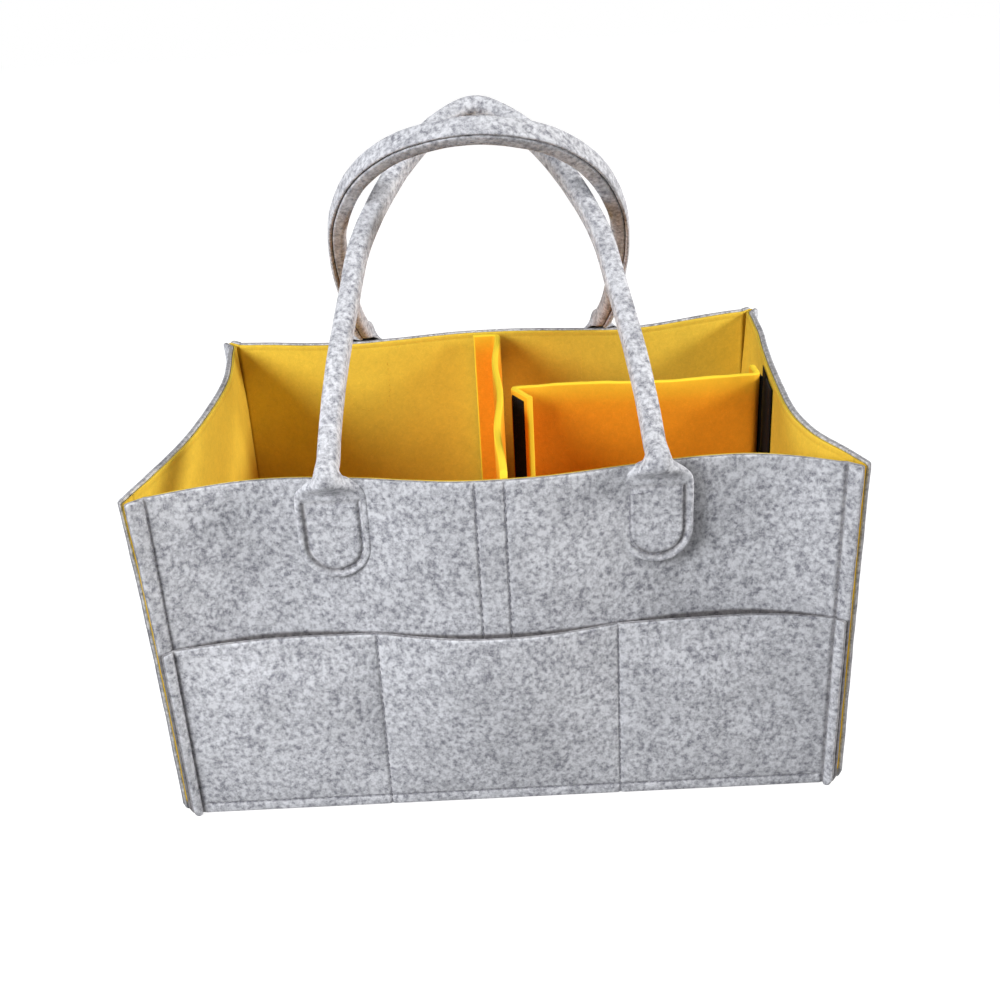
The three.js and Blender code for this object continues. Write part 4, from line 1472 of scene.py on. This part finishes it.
def tape_plan(node):
    """A standing strip's plan line and thickness, from its node's corners."""
    points = node_points(node)
    low = points[points[:, Z] < points[:, Z].min() + NEAR][:, :2]
    centre = low.mean(axis=0)
    _, _, axes = np.linalg.svd(low - centre)
    along = (low - centre) @ axes[0]
    deep = (low - centre) @ axes[1]
    return centre + np.outer([along.min(), along.max()], axes[0]), deep.max() - deep.min()


def make_hook_strips():
    """The hook strips on the dividers' flaps, and the one sewn to the right end."""
    bodies = {
        "mid_divider_front_hook_strip": "caddy",
        "mid_divider_back_hook_strip": "mid_divider",
        "cross_divider_left_hook_strip": "cross_divider",
        "cross_divider_right_hook_strip": "caddy",
    }
    for i, (node, body) in enumerate(bodies.items()):
        plan, thickness = tape_plan(node)
        low, high = node_box(node)
        piece = standing_felt(f"{node}_tape", resampled(plan, LINE_STEP), low[Z], high[Z], thickness,
                              black_tape(), "hook_tape", i)
        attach(piece, body)
        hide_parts(node)
    wall = walls()["right_end"]
    node = "right_end_hook_strip"
    low, high = node_box(node)
    us = grid_lines(low[Y], high[Y] + END_TAPE_TUCK, END_TAPE_ALONG_STEP)
    zs = grid_lines(low[Z], high[Z], END_TAPE_UP_STEP)
    u, z = np.meshgrid(us, zs)
    thinned = smooth_step(high[Y], high[Y] + END_TAPE_THINS, u)
    inner_lift = -END_TAPE_GAP - HOOK_TAPE + (HOOK_TAPE + END_TAPE_FILM_INNER) * thinned
    outer_lift = -END_TAPE_GAP + END_TAPE_FILM_OUTER * thinned
    inner, outer = (wall.on_ply(wall.lining[0], u, z, lift) for lift in (inner_lift, outer_lift))
    piece = felt_sheet(f"{node}_tape", inner, outer, from_cuts(zs), from_cuts(us), black_tape(),
                       "hook_tape")
    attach(piece, "caddy")
    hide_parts(node)


def wall_runs(wall, gape):
    """A wall's runs of stitching, on its outer felt and on its lining."""
    outside, inside = [], []
    panel, lining = wall.panel[1], wall.lining[0]
    sunk = -THREAD_SUNK_SHARE * size_of("groove_depth")
    foot = POCKET_HEIGHT if gape else 0
    for side in (-1, 1):
        outside.append(seam_run(wall, panel, side, foot, HEIGHT))
        if gape:
            outside.append(seam_run(wall, gape.lines[1], side, 0, POCKET_HEIGHT, gape))
    if gape:
        strip = gape.lines[1]
        outside.append(level_run(wall, strip, FOOT_STITCH_HEIGHT, sunk, gape=gape))
        for u in gape.seams[1:-1]:
            outside.append(upright_run(wall, strip, u, UPRIGHT_STITCH_LOW,
                                       POCKET_HEIGHT - UPRIGHT_STITCH_SHORT, sunk, gape))
        for u in DOUBLE_STITCH_PLACES:
            outside.append(upright_run(wall, panel, u, POCKET_HEIGHT - UPRIGHT_STITCH_TUCK,
                                       HEIGHT - UPRIGHT_STITCH_SHORT, sunk))
        lift = PATCH_GAP + FELT - PATCH_THREAD_SHARE * PATCH_GROOVE_DEPTH
        for middle in patch_middles(wall.name):
            u, z = patch_outline(middle)
            outside.append((wall.on_ply(panel, u, z, lift), np.tile(wall.outward, (len(u), 1))))
            u, z = patch_outline(middle, closed=False)
            inside.append((wall.on_ply(lining, u, z, PATCH_THREAD_INSIDE),
                           np.tile(-wall.outward, (len(u), 1))))
    else:
        outside.append(level_run(wall, panel, FOOT_STITCH_HEIGHT, sunk))
    short = LEVEL_STITCH_SHORT if gape else OPEN_CORNER_RUN
    inside.append(level_run(wall, lining, HEIGHT - RIM_STITCH_DROP, -sunk, -1, short=short))
    return outside, inside


def make_threads():
    """Every line of stitching, one piece for each wall and face."""
    grey = sewing_thread("Grey Thread", colours().grey_thread)
    yellow = sewing_thread("Yellow Thread", colours().yellow_thread)
    for wall in walls().values():
        outside, inside = wall_runs(wall, gapes().get(wall.name))
        for name, runs, material, slot in (("outer", outside, grey, "grey_felt"),
                                           ("inner", inside, yellow, "lining_felt")):
            piece = thread_piece(f"{wall.name}_{name}_stitching", runs, material)
            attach(piece, "caddy")


def area_light(name, place, aim, size, power, colour):
    light = bpy.data.lights.new(name, "AREA")
    light.shape = "DISK"
    light.size = size
    light.energy = power
    light.color = colour
    lamp = bpy.data.objects.new(name, light)
    lamp.location = place
    lamp.rotation_mode = "QUATERNION"
    lamp.rotation_quaternion = (Vector(aim) - Vector(place)).to_track_quat("-Z", "Y")
    bpy.context.scene.collection.objects.link(lamp)


def seen_directly(tree):
    """1 where a ray comes from the camera, from a gloss or through glass."""
    rays = tree.nodes.new("ShaderNodeLightPath").outputs
    indirect = maths(tree, "MAXIMUM", rays["Is Glossy Ray"], rays["Is Transmission Ray"])
    return maths(tree, "MAXIMUM", rays["Is Camera Ray"], indirect)


def make_floor():
    """A plain pale floor. What the camera sees of it is lifted to white, and the shadow stays."""
    material, tree, shader = blank_material("Pale Floor", 0.9)
    lift = maths(tree, "MULTIPLY", seen_directly(tree), FLOOR_LIFT)
    tree.links.new(lift, shader.inputs["Emission Strength"])
    shader.inputs["Emission Color"].default_value = WHITE
    grain = add_node(tree, "ShaderNodeTexNoise", {"Vector": object_place(tree), "Scale": 8.0, "Detail": 3.0})
    body = toned(tree, four(colours().floor), ranged(tree, grain.outputs[0], 0.3, 0.7, 0.985, 1.0))
    tree.links.new(body, shader.inputs["Base Color"])
    mesh = bpy.data.meshes.new("floor")
    corners = [(x * FLOOR_REACH, y * FLOOR_REACH, 0) for x, y in ((-1, -1), (1, -1), (1, 1), (-1, 1))]
    mesh.from_pydata(corners, [], [(0, 1, 2, 3)])
    mesh.materials.append(material)
    floor = bpy.data.objects.new("floor", mesh)
    floor.location.z = -FLOOR_DROP
    bpy.context.scene.collection.objects.link(floor)


def make_world():
    """Even soft light from a pale sky, and plain white behind the object."""
    world = bpy.data.worlds.new("Pale Studio")
    world.use_nodes = True
    tree = world.node_tree
    tree.nodes.clear()
    way = tree.nodes.new("ShaderNodeTexCoord").outputs["Generated"]
    height = add_node(tree, "ShaderNodeSeparateXYZ", {0: way}).outputs["Z"]
    strength = ranged(tree, height, 0.0, 1.0, SKY_LOW, SKY_HIGH)
    sky = add_node(tree, "ShaderNodeBackground", {"Color": WHITE, "Strength": strength})
    white = add_node(tree, "ShaderNodeBackground", {"Color": WHITE, "Strength": 1.0})
    mix = add_node(tree, "ShaderNodeMixShader", {0: seen_directly(tree)})
    tree.links.new(sky.outputs[0], mix.inputs[1])
    tree.links.new(white.outputs[0], mix.inputs[2])
    out = tree.nodes.new("ShaderNodeOutputWorld")
    tree.links.new(mix.outputs[0], out.inputs["Surface"])
    bpy.context.scene.world = world


def make_camera():
    """The photograph's camera."""
    forward, down = Vector(CAMERA_FORWARD).normalized(), Vector(CAMERA_DOWN).normalized()
    right = down.cross(forward).normalized()
    turn = Matrix((right, -down, -forward)).transposed()
    data = bpy.data.cameras.new("camera")
    data.sensor_width = CAMERA_SENSOR
    data.lens = CAMERA_LENS
    data.clip_start, data.clip_end = CAMERA_NEAR, CAMERA_FAR
    camera = bpy.data.objects.new("camera", data)
    camera.matrix_world = Matrix.Translation(Vector(CAMERA_PLACE) * MM) @ turn.to_4x4()
    bpy.context.scene.collection.objects.link(camera)
    bpy.context.scene.camera = camera


class FELTCADDY_OT_stage(bpy.types.Operator):
    """Set up the camera, the soft studio light and the pale floor"""

    bl_idname = "felt_caddy.stage"
    bl_label = "Stage"

    def execute(self, context):
        make_camera()
        make_world()
        make_floor()
        for name, lamp in LAMPS.items():
            area_light(name, **lamp)
        context.scene.view_settings.view_transform = "Standard"
        return {"FINISHED"}


class FELTCADDY_OT_panels(bpy.types.Operator):
    """Cut the outer felt of the four walls"""

    bl_idname = "felt_caddy.panels"
    bl_label = "Outer Felt"

    def execute(self, context):
        make_panels()
        return {"FINISHED"}


class FELTCADDY_OT_linings(bpy.types.Operator):
    """Cut the lining of the four walls"""

    bl_idname = "felt_caddy.linings"
    bl_label = "Linings"

    def execute(self, context):
        make_linings()
        return {"FINISHED"}


class FELTCADDY_OT_base(bpy.types.Operator):
    """Cut the base felt and its lining"""

    bl_idname = "felt_caddy.base"
    bl_label = "Base"

    def execute(self, context):
        make_base()
        return {"FINISHED"}


class FELTCADDY_OT_pockets(bpy.types.Operator):
    """Lay on the front and back pocket strips"""

    bl_idname = "felt_caddy.pockets"
    bl_label = "Pocket Strips"

    def execute(self, context):
        make_pockets()
        return {"FINISHED"}


class FELTCADDY_OT_handles(bpy.types.Operator):
    """Roll the two handles and sew their ends on"""

    bl_idname = "felt_caddy.handles"
    bl_label = "Handles"

    def execute(self, context):
        for side in HANDLES:
            make_handle(side)
        return {"FINISHED"}


class FELTCADDY_OT_dividers(bpy.types.Operator):
    """Stand the mid divider and the cross divider inside"""

    bl_idname = "felt_caddy.dividers"
    bl_label = "Dividers"

    def execute(self, context):
        make_mid_divider()
        make_cross_divider()
        return {"FINISHED"}


class FELTCADDY_OT_hook_strips(bpy.types.Operator):
    """Lay on the hook strips"""

    bl_idname = "felt_caddy.hook_strips"
    bl_label = "Hook Strips"

    def execute(self, context):
        make_hook_strips()
        return {"FINISHED"}


class FELTCADDY_OT_threads(bpy.types.Operator):
    """Sew every seam"""

    bl_idname = "felt_caddy.threads"
    bl_label = "Stitching"

    def execute(self, context):
        make_threads()
        return {"FINISHED"}


STEPS = (
    FELTCADDY_OT_stage, FELTCADDY_OT_panels, FELTCADDY_OT_linings, FELTCADDY_OT_base,
    FELTCADDY_OT_pockets, FELTCADDY_OT_handles, FELTCADDY_OT_dividers, FELTCADDY_OT_hook_strips,
    FELTCADDY_OT_threads,
)


class FELTCADDY_PT_panel(bpy.types.Panel):
    """The steps that make the caddy, and its sizes and colours"""

    bl_idname = "FELTCADDY_PT_panel"
    bl_label = "Felt Caddy"
    bl_space_type = "VIEW_3D"
    bl_region_type = "UI"
    bl_category = "Felt Caddy"

    def draw(self, context):
        layout = self.layout
        for step in STEPS:
            layout.operator(step.bl_idname)
        for group in (context.scene.felt_caddy_sizes, context.scene.felt_caddy_colours):
            for name in group.__annotations__:
                layout.prop(group, name)


CLASSES = (FeltCaddySizes, FeltCaddyColours, *STEPS, FELTCADDY_PT_panel)


def register():
    for cls in CLASSES:
        bpy.utils.register_class(cls)
    bpy.types.Scene.felt_caddy_sizes = PointerProperty(type=FeltCaddySizes)
    bpy.types.Scene.felt_caddy_colours = PointerProperty(type=FeltCaddyColours)


def unregister():
    del bpy.types.Scene.felt_caddy_colours
    del bpy.types.Scene.felt_caddy_sizes
    for cls in reversed(CLASSES):
        bpy.utils.unregister_class(cls)


def main():
    register()
    bpy.ops.felt_caddy.stage()
    bpy.ops.felt_caddy.panels()
    bpy.ops.felt_caddy.linings()
    bpy.ops.felt_caddy.base()
    bpy.ops.felt_caddy.pockets()
    bpy.ops.felt_caddy.handles()
    bpy.ops.felt_caddy.dividers()
    bpy.ops.felt_caddy.hook_strips()
    bpy.ops.felt_caddy.threads()


if __name__ == "__main__":
    main()
